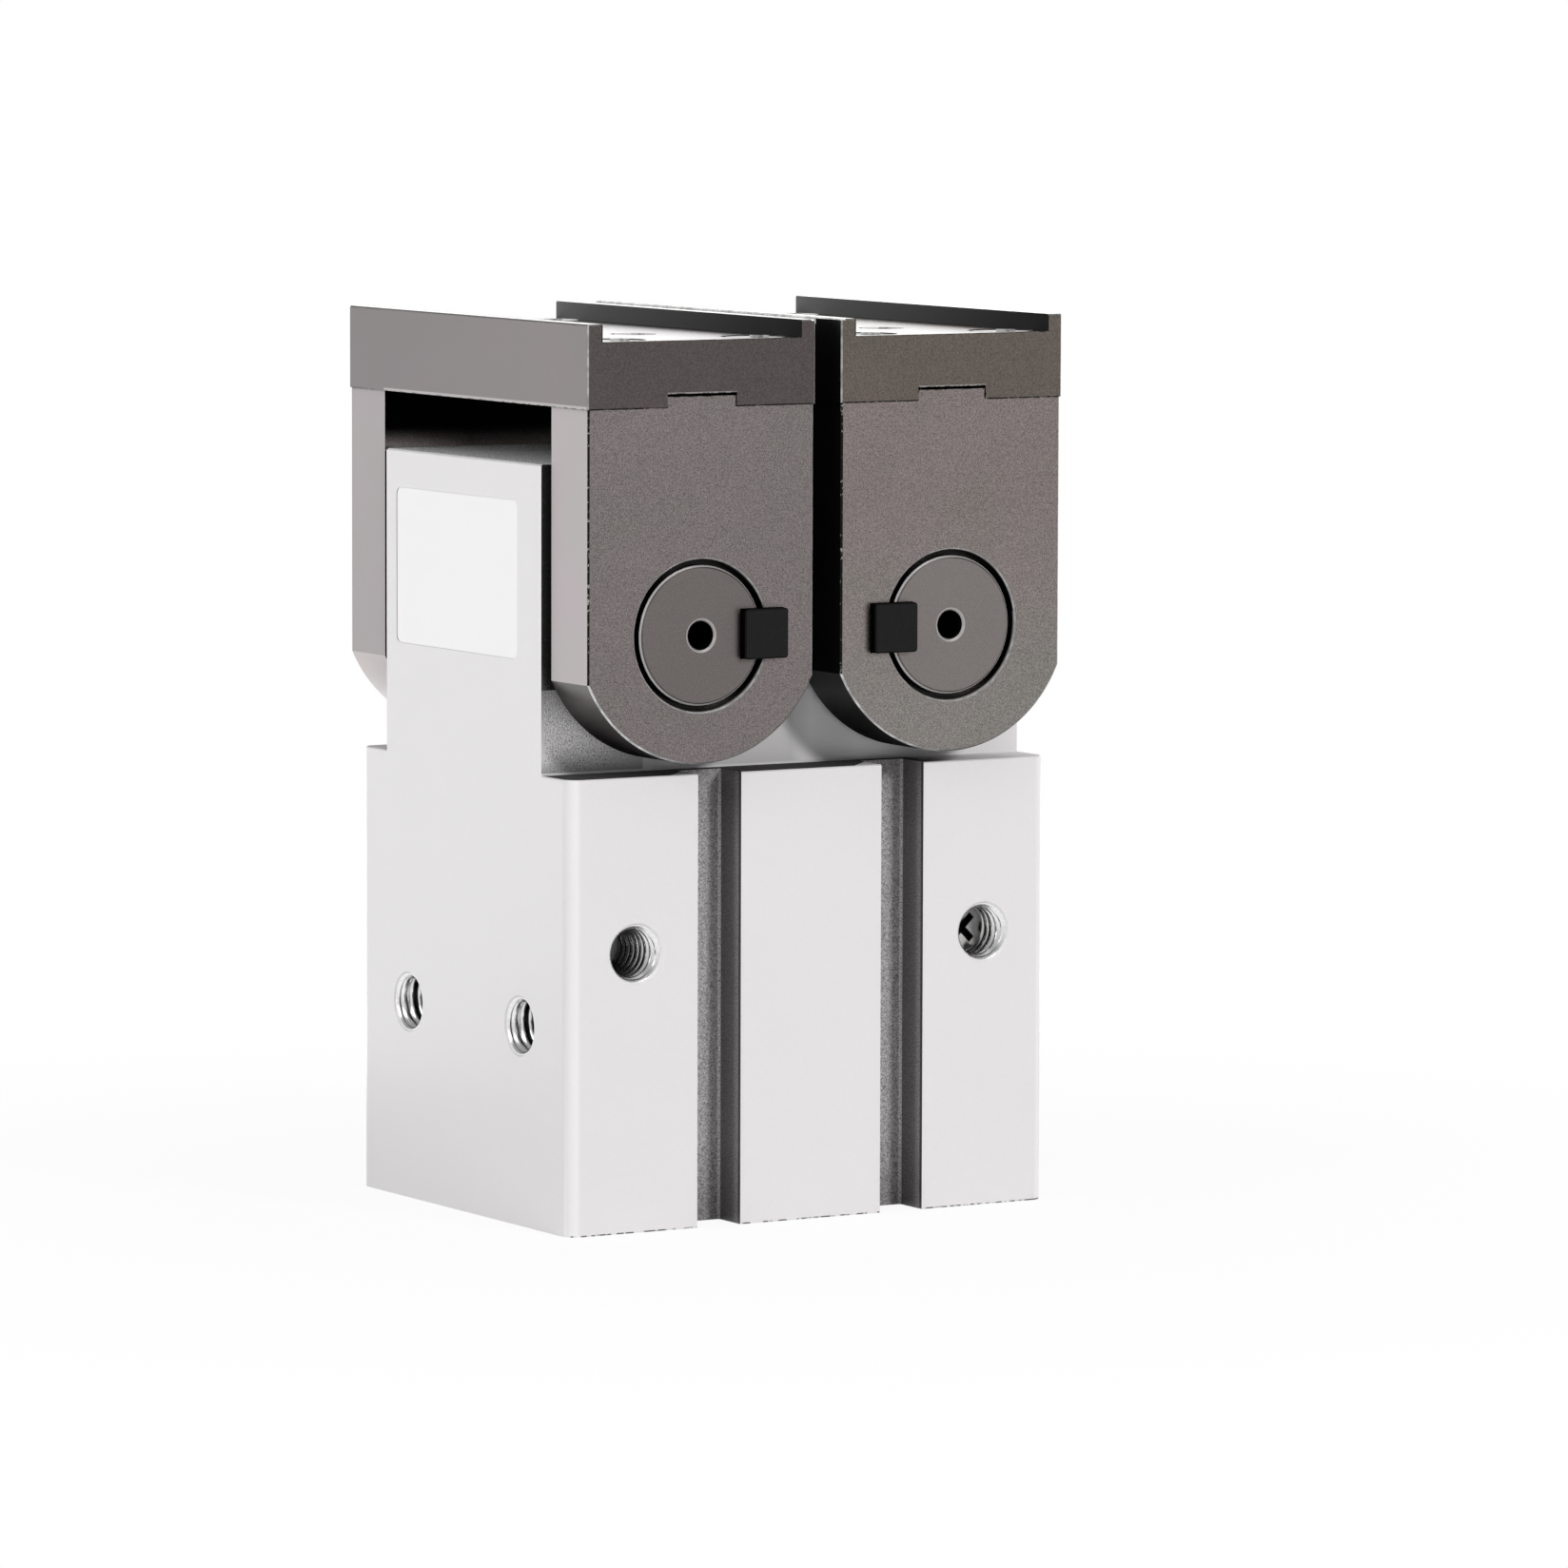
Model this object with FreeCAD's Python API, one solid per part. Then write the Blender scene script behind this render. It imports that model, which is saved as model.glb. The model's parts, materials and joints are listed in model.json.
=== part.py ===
"""Pneumatic angular gripper: two keyed fingers turned by one double-sided rack.

Millimetres. +Z is up, the fingers open along X and the switch grooves face -Y.
The origin is the centre of the base. At rest both fingers stand upright and parallel.
"""
import FreeCAD, Part
import math
import os

V = FreeCAD.Vector
X_AXIS = V(1, 0, 0)
Y_AXIS = V(0, 1, 0)
Z_AXIS = V(0, 0, 1)
ORIGIN = V(0, 0, 0)

# Fits and small clearances
SEAT_CLEARANCE = 0.02        # radial, between pieces that stay together
RUNNING_CLEARANCE = 0.03     # radial, between a shaft or rod and its bush
SLIDE_CLEARANCE = 0.2        # between a sliding or turning piece and the next face
STOP_GAP = 0.15              # left between the piston and each bumper at the end of travel
PLAY = 0.1                   # axial play of a retaining ring in its groove

# Finger motion from the upright pose
OPEN_ANGLE = 90.0
OVERCLOSE_ANGLE = 2.5

# Gear train
GEAR_MODULE = 1.0
PINION_TEETH = 12
PRESSURE_ANGLE = 25.0
RACK_TEETH = 5
TOOTH_THINNING = 0.03        # taken off every flank, so that the mesh has backlash
ROOT_CLEARANCE = 0.25
GEAR_FACE = 8.0              # pinion length along Y
RACK_THICKNESS = 7.6         # rack size along Y
RACK_BORE_CLEARANCE = 0.6
GEAR_CHAMBER_CLEARANCE = 1.0
FLANK_POINTS = 5

# Housing
BLOCK_WIDTH = 48.0           # X
BLOCK_DEPTH = 37.5           # Y
BLOCK_CORNER_RADIUS = 1.25
BLOCK_EDGE_BREAK = 0.1
HEAD_DEPTH = 27.7            # Y, the narrower head that the fingers straddle
HEAD_EDGE_BREAK = 0.15
TOP_WALL = 2.1               # over the rack's cavity
TOP_GAP = 0.4
CYLINDER_BORE = 25.0

# Switch grooves in the front face
GROOVE_SPACING = 18.4
GROOVE_WIDTH = 4.3
GROOVE_DEPTH = 3.6
GROOVE_CORNER_RADIUS = 0.3

# Tapped holes, drilled at the size over the thread
MOUNT_THREAD = 5.0
MOUNT_DEPTH = 8.0
HOLE_COUNTERSINK = 0.15
DRILL_POINT_ANGLE = 118.0
SIDE_HOLE_SPACING = 20.0
SIDE_HOLE_HEIGHT = 17.3
BASE_HOLE_SPACING_X = 36.0
BASE_HOLE_SPACING_Y = 25.0
PORT_THREAD = 5.0
PORT_SPACING = 35.0
PORT_HEIGHT = 24.05
PORT_DEPTH = 7.0
PASSAGE_DIAMETER = 2.0
PASSAGE_REACH = 0.6          # how far a passage breaks into the cylinder

# Restrictor screw deep in the right port
RESTRICTOR_DIAMETER = 4.2
RESTRICTOR_LENGTH = 3.0
RESTRICTOR_SETBACK = 3.6
RESTRICTOR_ORIFICE = 0.8
RESTRICTOR_SLOT_WIDTH = 0.7
RESTRICTOR_SLOT_DEPTH = 1.0
RESTRICTOR_SLOT_LENGTH = 3.1
RESTRICTOR_SLOT_TURN = 45.0

# Blank nameplate in its pocket on the left side
NAMEPLATE_LENGTH = 21.6      # Y
NAMEPLATE_HEIGHT = 13.6      # Z
NAMEPLATE_CORNER = 0.7
NAMEPLATE_THICKNESS = 0.1
NAMEPLATE_POCKET = 0.14
NAMEPLATE_OFFSET_Y = 1.2
NAMEPLATE_BELOW_TOP = 3.3

# Pieces stacked along the cylinder, from the base up
CAP_RECESS = 1.4
CAP_THICKNESS = 6.0
CAP_SHOULDER = 0.5           # radial step that the cap seats on
CAP_GROOVE_DEPTH = 0.6
RING_THICKNESS = 1.0
RING_WIDTH = 2.2
RING_OPENING_ANGLE = 50.0
RING_LUG_RADIUS = 1.7
RING_LUG_HOLE = 0.6
BUMPER_SEAT = 0.4            # depth of the recess that holds a bumper
BUMPER_BORE_GAP = 3.9        # round a bumper, for the eyes of the gland's retaining ring
CLOSING_BUMPER_PROUD = 0.8
OPENING_BUMPER_PROUD = 1.4
PISTON_LENGTH = 10.6
PISTON_CHAMFER = 0.8
GLAND_LENGTH = 7.0
GLAND_GROOVE_DEPTH = 0.5
RACK_LIFT = 0.28             # gap under the rack when the fingers are fully closed
O_RING_SECTION = 1.2
O_RING_GROOVE_SIDE_ROOM = 0.3
GROOVE_CUTTER_RUNOUT = 1.0   # how far a groove's cutter stands out of the piece

# Piston and rod
ROD_DIAMETER = 10.0
ROD_SPIGOT_DIAMETER = 7.0
ROD_SPIGOT_LENGTH = 2.5
SEAL_WIDTH = 2.2
SEAL_DEPTH = 2.4
MAGNET_WIDTH = 2.4
MAGNET_DEPTH = 2.2
WEAR_RING_WIDTH = 1.8
WEAR_RING_DEPTH = 1.0
ROD_SEAL_WIDTH = 2.4
ROD_SEAL_DEPTH = 1.6
PISTON_SCREW_THREAD = 4.0
PISTON_SCREW_LENGTH = 11.0
PISTON_SCREW_HEAD_DIAMETER = 7.0
PISTON_SCREW_HEAD_HEIGHT = 2.6
PISTON_SCREW_HEX = 2.5

# Pinion shafts, bushes and keys
PIVOT_SPACING = 25.0
SHAFT_DIAMETER = 12.0
SHAFT_CHAMFER = 0.25
CENTRE_HOLE_DIAMETER = 2.5
CENTRE_HOLE_DEPTH = 5.0
BUSH_GAP = 0.5               # between the pinion's end and the bush
BUSH_FLANGE_DIAMETER = 18.0
BUSH_FLANGE_THICKNESS = 0.85
KEY_SIZE = 4.3
KEY_PROUD = 0.9
KEY_CORNER_RADIUS = 0.3
KEY_CHAMFER = 0.12

# Finger plates and crossbars
FINGER_GAP = 2.6
CROSSBAR_SIDE_OVERHANG = 0.1
CROSSBAR_END_OVERHANG = 0.1
PLATE_THICKNESS = 6.3
PLATE_FOOT_EXTRA = 1.1       # foot radius over half the plate's width
PLATE_FOOT_DROP = 11.0       # from the pivot down to the foot of the plate
PLATE_RELIEF_WIDTH = 0.46    # ring cut round the shaft's end
PLATE_RELIEF_DEPTH = 1.2
PLATE_RELIEF_CHAMFER = 0.2
PLATE_EDGE_BREAK = 0.15
LEDGE_CLEARANCE = 0.35
CROSSBAR_CLEARANCE = 1.0     # under the crossbar as it swings past the head's corner
CROSSBAR_FLOOR = 5.7
CROSSBAR_EDGE_BREAK = 0.12
LIP_WIDTH = 1.45
LIP_HEIGHT = 1.5
TONGUE_WIDTH = 6.7
TONGUE_HEIGHT = 0.9
TONGUE_TOP_GAP = 0.25
TONGUE_SIDE_GAP = 0.05
JAW_THREAD = 4.0
JAW_HOLE_SPACING = 19.0
SCREW_THREAD = 3.0
SCREW_SPACING = 13.8
SCREW_LENGTH = 8.0
SCREW_HEAD_DIAMETER = 5.5
SCREW_HEAD_HEIGHT = 3.0
SCREW_HEAD_SINK = 0.3
SCREW_HEX = 2.5
SCREW_HEX_DEPTH = 1.4
SCREW_HOLE_CLEARANCE = 0.2
SCREW_HEAD_CLEARANCE = 0.1

# Gear sizes that follow from the train
PITCH_RADIUS = GEAR_MODULE * PINION_TEETH / 2
TIP_RADIUS = PITCH_RADIUS + GEAR_MODULE
ROOT_RADIUS = PITCH_RADIUS - GEAR_MODULE - ROOT_CLEARANCE
BASE_RADIUS = PITCH_RADIUS * math.cos(math.radians(PRESSURE_ANGLE))
TOOTH_PITCH = math.pi * GEAR_MODULE
OPEN_TRAVEL = PITCH_RADIUS * math.radians(OPEN_ANGLE)
CLOSE_TRAVEL = PITCH_RADIUS * math.radians(OVERCLOSE_ANGLE)
PIVOT_X = PIVOT_SPACING / 2
RACK_PITCH_X = PIVOT_X - PITCH_RADIUS
RACK_TIP_X = RACK_PITCH_X + GEAR_MODULE
RACK_ROOT_X = RACK_PITCH_X - GEAR_MODULE - ROOT_CLEARANCE
RACK_BORE_RADIUS = math.hypot(RACK_TIP_X, RACK_THICKNESS / 2) + RACK_BORE_CLEARANCE
CHAMBER_RADIUS = TIP_RADIUS + GEAR_CHAMBER_CLEARANCE

# Heights of the stack in the cylinder
BORE_RADIUS = CYLINDER_BORE / 2
CAP_RADIUS = BORE_RADIUS + CAP_SHOULDER
CAP_BOTTOM = CAP_RECESS + RING_THICKNESS
CAP_TOP = CAP_BOTTOM + CAP_THICKNESS
PISTON_BOTTOM = CAP_TOP + CLOSING_BUMPER_PROUD + STOP_GAP + CLOSE_TRAVEL
PISTON_TOP = PISTON_BOTTOM + PISTON_LENGTH
GLAND_BOTTOM = PISTON_TOP + OPEN_TRAVEL + STOP_GAP + OPENING_BUMPER_PROUD
GLAND_TOP = GLAND_BOTTOM + GLAND_LENGTH
RACK_BOTTOM = GLAND_TOP + CLOSE_TRAVEL + RACK_LIFT
PIVOT_Z = RACK_BOTTOM + (RACK_TEETH - 1) * TOOTH_PITCH
RACK_TOP = PIVOT_Z + TOOTH_PITCH / 2 + GEAR_MODULE
CAVITY_TOP = RACK_TOP + OPEN_TRAVEL + TOP_GAP

# Heights and sizes of the housing and fingers
PLATE_WIDTH = PIVOT_SPACING - FINGER_GAP - 2 * CROSSBAR_SIDE_OVERHANG
FOOT_RADIUS = PLATE_WIDTH / 2 + PLATE_FOOT_EXTRA
FOOT_CENTRE = FOOT_RADIUS - PLATE_FOOT_DROP
FOOT_CORNER = FOOT_CENTRE - math.sqrt(FOOT_RADIUS ** 2 - (PLATE_WIDTH / 2) ** 2)
FOOT_REACH = max(math.hypot(PLATE_WIDTH / 2, FOOT_CORNER), PLATE_FOOT_DROP)
LEDGE_Z = PIVOT_Z - FOOT_REACH - LEDGE_CLEARANCE
HEAD_TOP = CAVITY_TOP + TOP_WALL
HEAD_CORNER_REACH = math.hypot(BLOCK_WIDTH / 2 - PIVOT_X, HEAD_TOP - PIVOT_Z)
PLATE_TOP = PIVOT_Z + HEAD_CORNER_REACH + CROSSBAR_CLEARANCE
HEAD_FACE = HEAD_DEPTH / 2
PLATE_INNER = HEAD_FACE + BUSH_FLANGE_THICKNESS + SLIDE_CLEARANCE
PLATE_OUTER = PLATE_INNER + PLATE_THICKNESS
PLATE_MIDDLE = (PLATE_INNER + PLATE_OUTER) / 2
SHAFT_RADIUS = SHAFT_DIAMETER / 2


def box(low, high):
    """Box between two corners."""
    return Part.makeBox(high[0] - low[0], high[1] - low[1], high[2] - low[2], V(*low))


def cylinder(radius, start, axis, length):
    """Cylinder from a start point along an axis."""
    return Part.makeCylinder(radius, length, V(*start), axis)


def turned(profile, axis_point=ORIGIN, axis=Z_AXIS):
    """Revolve a closed (radius, height) profile about the Z axis, then lay it along an axis."""
    points = [V(radius, 0, height) for radius, height in profile]
    face = Part.Face(Part.makePolygon(points + points[:1]))
    solid = face.revolve(ORIGIN, Z_AXIS, 360)
    return placed(solid, axis_point, axis)


def placed(shape, point, axis=Z_AXIS):
    """Move a shape made round the Z axis so that Z lies along axis and its origin on point."""
    turn = FreeCAD.Rotation(Z_AXIS, axis)
    shape.Placement = FreeCAD.Placement(V(*point), turn)
    return shape


def ring(outer, inner, bottom, top):
    """Plain ring about the Z axis."""
    return turned([(inner, bottom), (outer, bottom), (outer, top), (inner, top)])


def rounded_rectangle(length, height, radius):
    """Wire of a rounded rectangle about the origin, in the XY plane."""
    x = length / 2 - radius
    y = height / 2 - radius
    centres = [V(x, y, 0), V(-x, y, 0), V(-x, -y, 0), V(x, -y, 0)]
    arcs = []
    for index, centre in enumerate(centres):
        arcs.append(Part.makeCircle(radius, centre, Z_AXIS, 90 * index, 90 * index + 90))
    edges = []
    for arc, following in zip(arcs, arcs[1:] + arcs[:1]):
        edges.append(arc)
        edges.append(Part.makeLine(arc.Vertexes[-1].Point, following.Vertexes[0].Point))
    return Part.Wire(edges)


def hexagon_prism(across_flats, start, axis, length):
    """Hexagonal prism for a socket."""
    corner = across_flats / math.sqrt(3)
    angles = [math.pi / 3 * index for index in range(6)]
    points = [V(corner * math.cos(angle), corner * math.sin(angle), 0) for angle in angles]
    prism = Part.Face(Part.makePolygon(points + points[:1])).extrude(V(0, 0, length))
    return placed(prism, start, axis)


def hole_tool(diameter, depth, mouth, inward):
    """Cutter for a drilled hole: countersunk mouth, straight wall and drill point."""
    radius = diameter / 2
    point = radius / math.tan(math.radians(DRILL_POINT_ANGLE / 2))
    profile = [(0, -HOLE_COUNTERSINK), (radius + 2 * HOLE_COUNTERSINK, -HOLE_COUNTERSINK),
               (radius, HOLE_COUNTERSINK), (radius, depth), (0, depth + point)]
    return turned(profile, mouth, inward)


def mirrored_x(shape):
    """Copy on the other side of the YZ plane."""
    return shape.mirror(ORIGIN, X_AXIS)


def mirrored_y(shape):
    """Copy on the other side of the XZ plane."""
    return shape.mirror(ORIGIN, Y_AXIS)


def edges_on_plane(shape, axis, value, tolerance=1e-4):
    """Edges that lie wholly in the plane where one coordinate has the given value."""
    found = []
    for edge in shape.Edges:
        low = getattr(edge.BoundBox, axis + "Min")
        high = getattr(edge.BoundBox, axis + "Max")
        if abs(low - value) < tolerance and abs(high - value) < tolerance:
            found.append(edge)
    return found


# Housing

def housing_outline():
    """Base block with rounded corners and the narrower head on it."""
    base = Part.Face(rounded_rectangle(BLOCK_WIDTH, BLOCK_DEPTH, BLOCK_CORNER_RADIUS))
    base = base.extrude(V(0, 0, LEDGE_Z))
    base = base.makeChamfer(BLOCK_EDGE_BREAK, edges_on_plane(base, "Z", LEDGE_Z))
    head = box((-BLOCK_WIDTH / 2, -HEAD_FACE, 0), (BLOCK_WIDTH / 2, HEAD_FACE, HEAD_TOP))
    head = head.makeChamfer(HEAD_EDGE_BREAK, edges_on_plane(head, "Z", HEAD_TOP))
    return base.fuse(head).removeSplitter()


def groove_tool(side):
    """Cutter for one full-height switch groove with rounded floor corners, centred on the front face."""
    outline = Part.Face(rounded_rectangle(GROOVE_WIDTH, 2 * GROOVE_DEPTH, GROOVE_CORNER_RADIUS))
    cutter = outline.extrude(V(0, 0, LEDGE_Z + 2 * BLOCK_EDGE_BREAK))
    return placed(cutter, (side * GROOVE_SPACING / 2, -BLOCK_DEPTH / 2, -BLOCK_EDGE_BREAK))


def cylinder_tool():
    """Cutter for the cap's seat, the cylinder, the ring grooves and the rack's cavity."""
    cap_groove = BORE_RADIUS + CAP_SHOULDER + CAP_GROOVE_DEPTH
    gland_groove = BORE_RADIUS + GLAND_GROOVE_DEPTH
    gland_ring_bottom = GLAND_BOTTOM - RING_THICKNESS - PLAY
    profile = [(0, -BLOCK_EDGE_BREAK),
               (CAP_RADIUS, -BLOCK_EDGE_BREAK), (CAP_RADIUS, CAP_RECESS - PLAY),
               (cap_groove, CAP_RECESS - PLAY), (cap_groove, CAP_BOTTOM),
               (CAP_RADIUS, CAP_BOTTOM), (CAP_RADIUS, CAP_TOP),
               (BORE_RADIUS, CAP_TOP), (BORE_RADIUS, gland_ring_bottom),
               (gland_groove, gland_ring_bottom), (gland_groove, GLAND_BOTTOM),
               (BORE_RADIUS, GLAND_BOTTOM), (BORE_RADIUS, GLAND_TOP),
               (RACK_BORE_RADIUS, GLAND_TOP), (RACK_BORE_RADIUS, CAVITY_TOP), (0, CAVITY_TOP)]
    return turned(profile)


def pinion_bore_tool(side):
    """Cutter for one cross bore that takes a pinion and its two bushes."""
    return cylinder(CHAMBER_RADIUS, (side * PIVOT_X, -HEAD_FACE, PIVOT_Z), Y_AXIS, HEAD_DEPTH)


def mounting_hole_tools():
    """Cutters for the tapped holes in both sides and in the base."""
    tools = []
    for side in (-1, 1):
        for end in (-1, 1):
            side_mouth = (side * BLOCK_WIDTH / 2, end * SIDE_HOLE_SPACING / 2, SIDE_HOLE_HEIGHT)
            tools.append(hole_tool(MOUNT_THREAD, MOUNT_DEPTH, side_mouth, V(-side, 0, 0)))
            base_mouth = (side * BASE_HOLE_SPACING_X / 2, end * BASE_HOLE_SPACING_Y / 2, 0)
            tools.append(hole_tool(MOUNT_THREAD, MOUNT_DEPTH, base_mouth, Z_AXIS))
    return tools


def passage_tool(side, start_depth, chamber_z):
    """Cutter for the slanting air passage from a port down or up to its chamber."""
    start = V(side * PORT_SPACING / 2, -BLOCK_DEPTH / 2 + start_depth, PORT_HEIGHT)
    level = math.hypot(start.x, start.y)
    reach = (BORE_RADIUS - PASSAGE_REACH) / level
    end = V(start.x * reach, start.y * reach, chamber_z)
    run = end - start
    return Part.makeCylinder(PASSAGE_DIAMETER / 2, run.Length, start, run)


def port_tools():
    """Cutters for the two ports: an open one, and one with the restrictor's seat behind it."""
    face = -BLOCK_DEPTH / 2
    left_mouth = (-PORT_SPACING / 2, face, PORT_HEIGHT)
    right_mouth = (PORT_SPACING / 2, face, PORT_HEIGHT)
    seat_depth = RESTRICTOR_SETBACK + RESTRICTOR_LENGTH
    right_entry = turned([(0, -HOLE_COUNTERSINK),
                          (PORT_THREAD / 2 + 2 * HOLE_COUNTERSINK, -HOLE_COUNTERSINK),
                          (PORT_THREAD / 2, HOLE_COUNTERSINK), (PORT_THREAD / 2, RESTRICTOR_SETBACK),
                          (RESTRICTOR_DIAMETER / 2, RESTRICTOR_SETBACK),
                          (RESTRICTOR_DIAMETER / 2, seat_depth + PASSAGE_DIAMETER),
                          (0, seat_depth + PASSAGE_DIAMETER)], right_mouth, Y_AXIS)
    return [hole_tool(PORT_THREAD, PORT_DEPTH, left_mouth, Y_AXIS), right_entry,
            passage_tool(-1, PORT_DEPTH, PISTON_BOTTOM),
            passage_tool(1, seat_depth + PASSAGE_DIAMETER / 2, PISTON_TOP + OPEN_TRAVEL - PISTON_CHAMFER)]


def nameplate_centre(depth):
    """Point at the middle of the nameplate, at a depth under the left face."""
    middle = HEAD_TOP - NAMEPLATE_BELOW_TOP - NAMEPLATE_HEIGHT / 2
    return V(-BLOCK_WIDTH / 2 + depth, NAMEPLATE_OFFSET_Y, middle)


def nameplate_slab(length, height, corner, outward, depth):
    """Flat rounded plate standing in the YZ plane, from a depth out towards -X."""
    slab = Part.Face(rounded_rectangle(length, height, corner)).extrude(V(0, 0, outward))
    standing = FreeCAD.Rotation(V(0, -1, 0), Z_AXIS, V(-1, 0, 0))
    slab.Placement = FreeCAD.Placement(nameplate_centre(depth), standing)
    return slab


def housing_block():
    """Machined housing with every bore, groove, port and tapped hole."""
    grow = 2 * SEAT_CLEARANCE
    pocket = nameplate_slab(NAMEPLATE_LENGTH + grow, NAMEPLATE_HEIGHT + grow, NAMEPLATE_CORNER,
                            2 * NAMEPLATE_POCKET, NAMEPLATE_POCKET)
    tools = [cylinder_tool(), pocket]
    for side in (-1, 1):
        tools.append(groove_tool(side))
        tools.append(pinion_bore_tool(side))
    tools += mounting_hole_tools()
    tools += port_tools()
    return housing_outline().cut(tools).removeSplitter()


def nameplate():
    """Thin blank plate lying just under the left face."""
    return nameplate_slab(NAMEPLATE_LENGTH, NAMEPLATE_HEIGHT, NAMEPLATE_CORNER,
                          NAMEPLATE_THICKNESS, NAMEPLATE_POCKET)


def port_restrictor():
    """Headless screw with a cross slot and a small orifice."""
    radius = RESTRICTOR_DIAMETER / 2 - SEAT_CLEARANCE
    start = (PORT_SPACING / 2, -BLOCK_DEPTH / 2 + RESTRICTOR_SETBACK, PORT_HEIGHT)
    body = cylinder(radius, ORIGIN, Z_AXIS, RESTRICTOR_LENGTH)
    half = RESTRICTOR_SLOT_WIDTH / 2
    reach = RESTRICTOR_SLOT_LENGTH / 2
    tools = [cylinder(RESTRICTOR_ORIFICE / 2, ORIGIN, Z_AXIS, RESTRICTOR_LENGTH)]
    for turn in (RESTRICTOR_SLOT_TURN, RESTRICTOR_SLOT_TURN + 90):
        slot = box((-reach, -half, 0), (reach, half, RESTRICTOR_SLOT_DEPTH))
        tools.append(slot.rotate(ORIGIN, Z_AXIS, turn))
    return placed(body.cut(tools), start, Y_AXIS)


# Cylinder end pieces

def o_ring(wall_radius, middle):
    """Ring of round section that fills the space between a groove floor and a bore."""
    section = O_RING_SECTION / 2
    return Part.makeTorus(wall_radius - SEAT_CLEARANCE - section, section, V(0, 0, middle), Z_AXIS)


def o_ring_groove(wall_radius, middle):
    """Cutter for the groove that holds an O-ring inside a bore."""
    floor = wall_radius - O_RING_SECTION - 2 * SEAT_CLEARANCE
    half = O_RING_SECTION / 2 + O_RING_GROOVE_SIDE_ROOM
    return ring(wall_radius + GROOVE_CUTTER_RUNOUT, floor, middle - half, middle + half)


def retaining_ring(outer, bottom):
    """Internal retaining ring: an open ring with two eyes at its ends."""
    inner = outer - RING_WIDTH
    whole = ring(outer, inner, bottom, bottom + RING_THICKNESS)
    half_opening = math.radians(RING_OPENING_ANGLE / 2)
    reach = 2 * outer
    wedge = Part.Face(Part.makePolygon([
        V(0, 0, bottom), V(reach * math.sin(half_opening), -reach * math.cos(half_opening), bottom),
        V(-reach * math.sin(half_opening), -reach * math.cos(half_opening), bottom), V(0, 0, bottom)]))
    opened = whole.cut(wedge.extrude(V(0, 0, RING_THICKNESS)))
    eye_radius = inner + RING_WIDTH / 2 - RING_LUG_RADIUS / 2
    eyes = []
    holes = []
    for side in (-1, 1):
        angle = half_opening + RING_LUG_RADIUS / eye_radius
        centre = (side * eye_radius * math.sin(angle), -eye_radius * math.cos(angle), bottom)
        eyes.append(cylinder(RING_LUG_RADIUS, centre, Z_AXIS, RING_THICKNESS))
        holes.append(cylinder(RING_LUG_HOLE, centre, Z_AXIS, RING_THICKNESS))
    return opened.fuse(eyes).removeSplitter().cut(holes)


def bumper_radii():
    """Inner and outer radius of both rubber bumpers, between the rod and the bore."""
    return ROD_DIAMETER / 2 + SLIDE_CLEARANCE, BORE_RADIUS - BUMPER_BORE_GAP


def bumper_recess(bottom, top):
    """Cutter for a bumper's seat."""
    inner, outer = bumper_radii()
    return ring(outer + SEAT_CLEARANCE, inner - SEAT_CLEARANCE, bottom, top)


def bumper(bottom, top):
    """Rubber stop ring with rounded-off edges."""
    inner, outer = bumper_radii()
    break_size = BUMPER_SEAT / 2
    return turned([(inner, bottom + break_size), (inner + break_size, bottom), (outer - break_size, bottom),
                   (outer, bottom + break_size), (outer, top - break_size), (outer - break_size, top),
                   (inner + break_size, top), (inner, top - break_size)])


def end_cap():
    """Round cap that closes the cylinder at the base."""
    radius = CAP_RADIUS - SEAT_CLEARANCE
    plug = cylinder(radius, (0, 0, CAP_BOTTOM), Z_AXIS, CAP_THICKNESS)
    return plug.cut([o_ring_groove(CAP_RADIUS, CAP_BOTTOM + CAP_THICKNESS / 2),
                     bumper_recess(CAP_TOP - BUMPER_SEAT, CAP_TOP)])


def rod_gland():
    """Bush that closes the top of the cylinder and guides the rod."""
    plug = ring(BORE_RADIUS - SEAT_CLEARANCE, ROD_DIAMETER / 2 + RUNNING_CLEARANCE, GLAND_BOTTOM, GLAND_TOP)
    middle = (GLAND_BOTTOM + GLAND_TOP) / 2
    seal_room = ring(ROD_DIAMETER / 2 + ROD_SEAL_DEPTH, ROD_DIAMETER / 2,
                     middle - ROD_SEAL_WIDTH / 2, middle + ROD_SEAL_WIDTH / 2)
    return plug.cut([o_ring_groove(BORE_RADIUS, middle), seal_room,
                     bumper_recess(GLAND_BOTTOM, GLAND_BOTTOM + BUMPER_SEAT)])


def rod_seal():
    """Cup seal round the rod, with a notch between its lips."""
    inner = ROD_DIAMETER / 2 + SEAT_CLEARANCE
    outer = ROD_DIAMETER / 2 + ROD_SEAL_DEPTH - SEAT_CLEARANCE
    middle = (GLAND_BOTTOM + GLAND_TOP) / 2
    bottom = middle - ROD_SEAL_WIDTH / 2 + SEAT_CLEARANCE
    top = middle + ROD_SEAL_WIDTH / 2 - SEAT_CLEARANCE
    centre = (inner + outer) / 2
    lip = (outer - inner) / 4
    return turned([(inner, bottom), (centre - lip, bottom), (centre, middle), (centre + lip, bottom),
                   (outer, bottom), (outer, top), (inner, top)])


# Piston and rack

def piston_groove_levels():
    """Bottom heights of the seal, magnet and wear ring grooves."""
    room = PISTON_LENGTH - SEAL_WIDTH - MAGNET_WIDTH - WEAR_RING_WIDTH
    land = room / 4
    seal = PISTON_BOTTOM + land
    magnet = seal + SEAL_WIDTH + land
    wear = magnet + MAGNET_WIDTH + land
    return seal, magnet, wear


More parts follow.
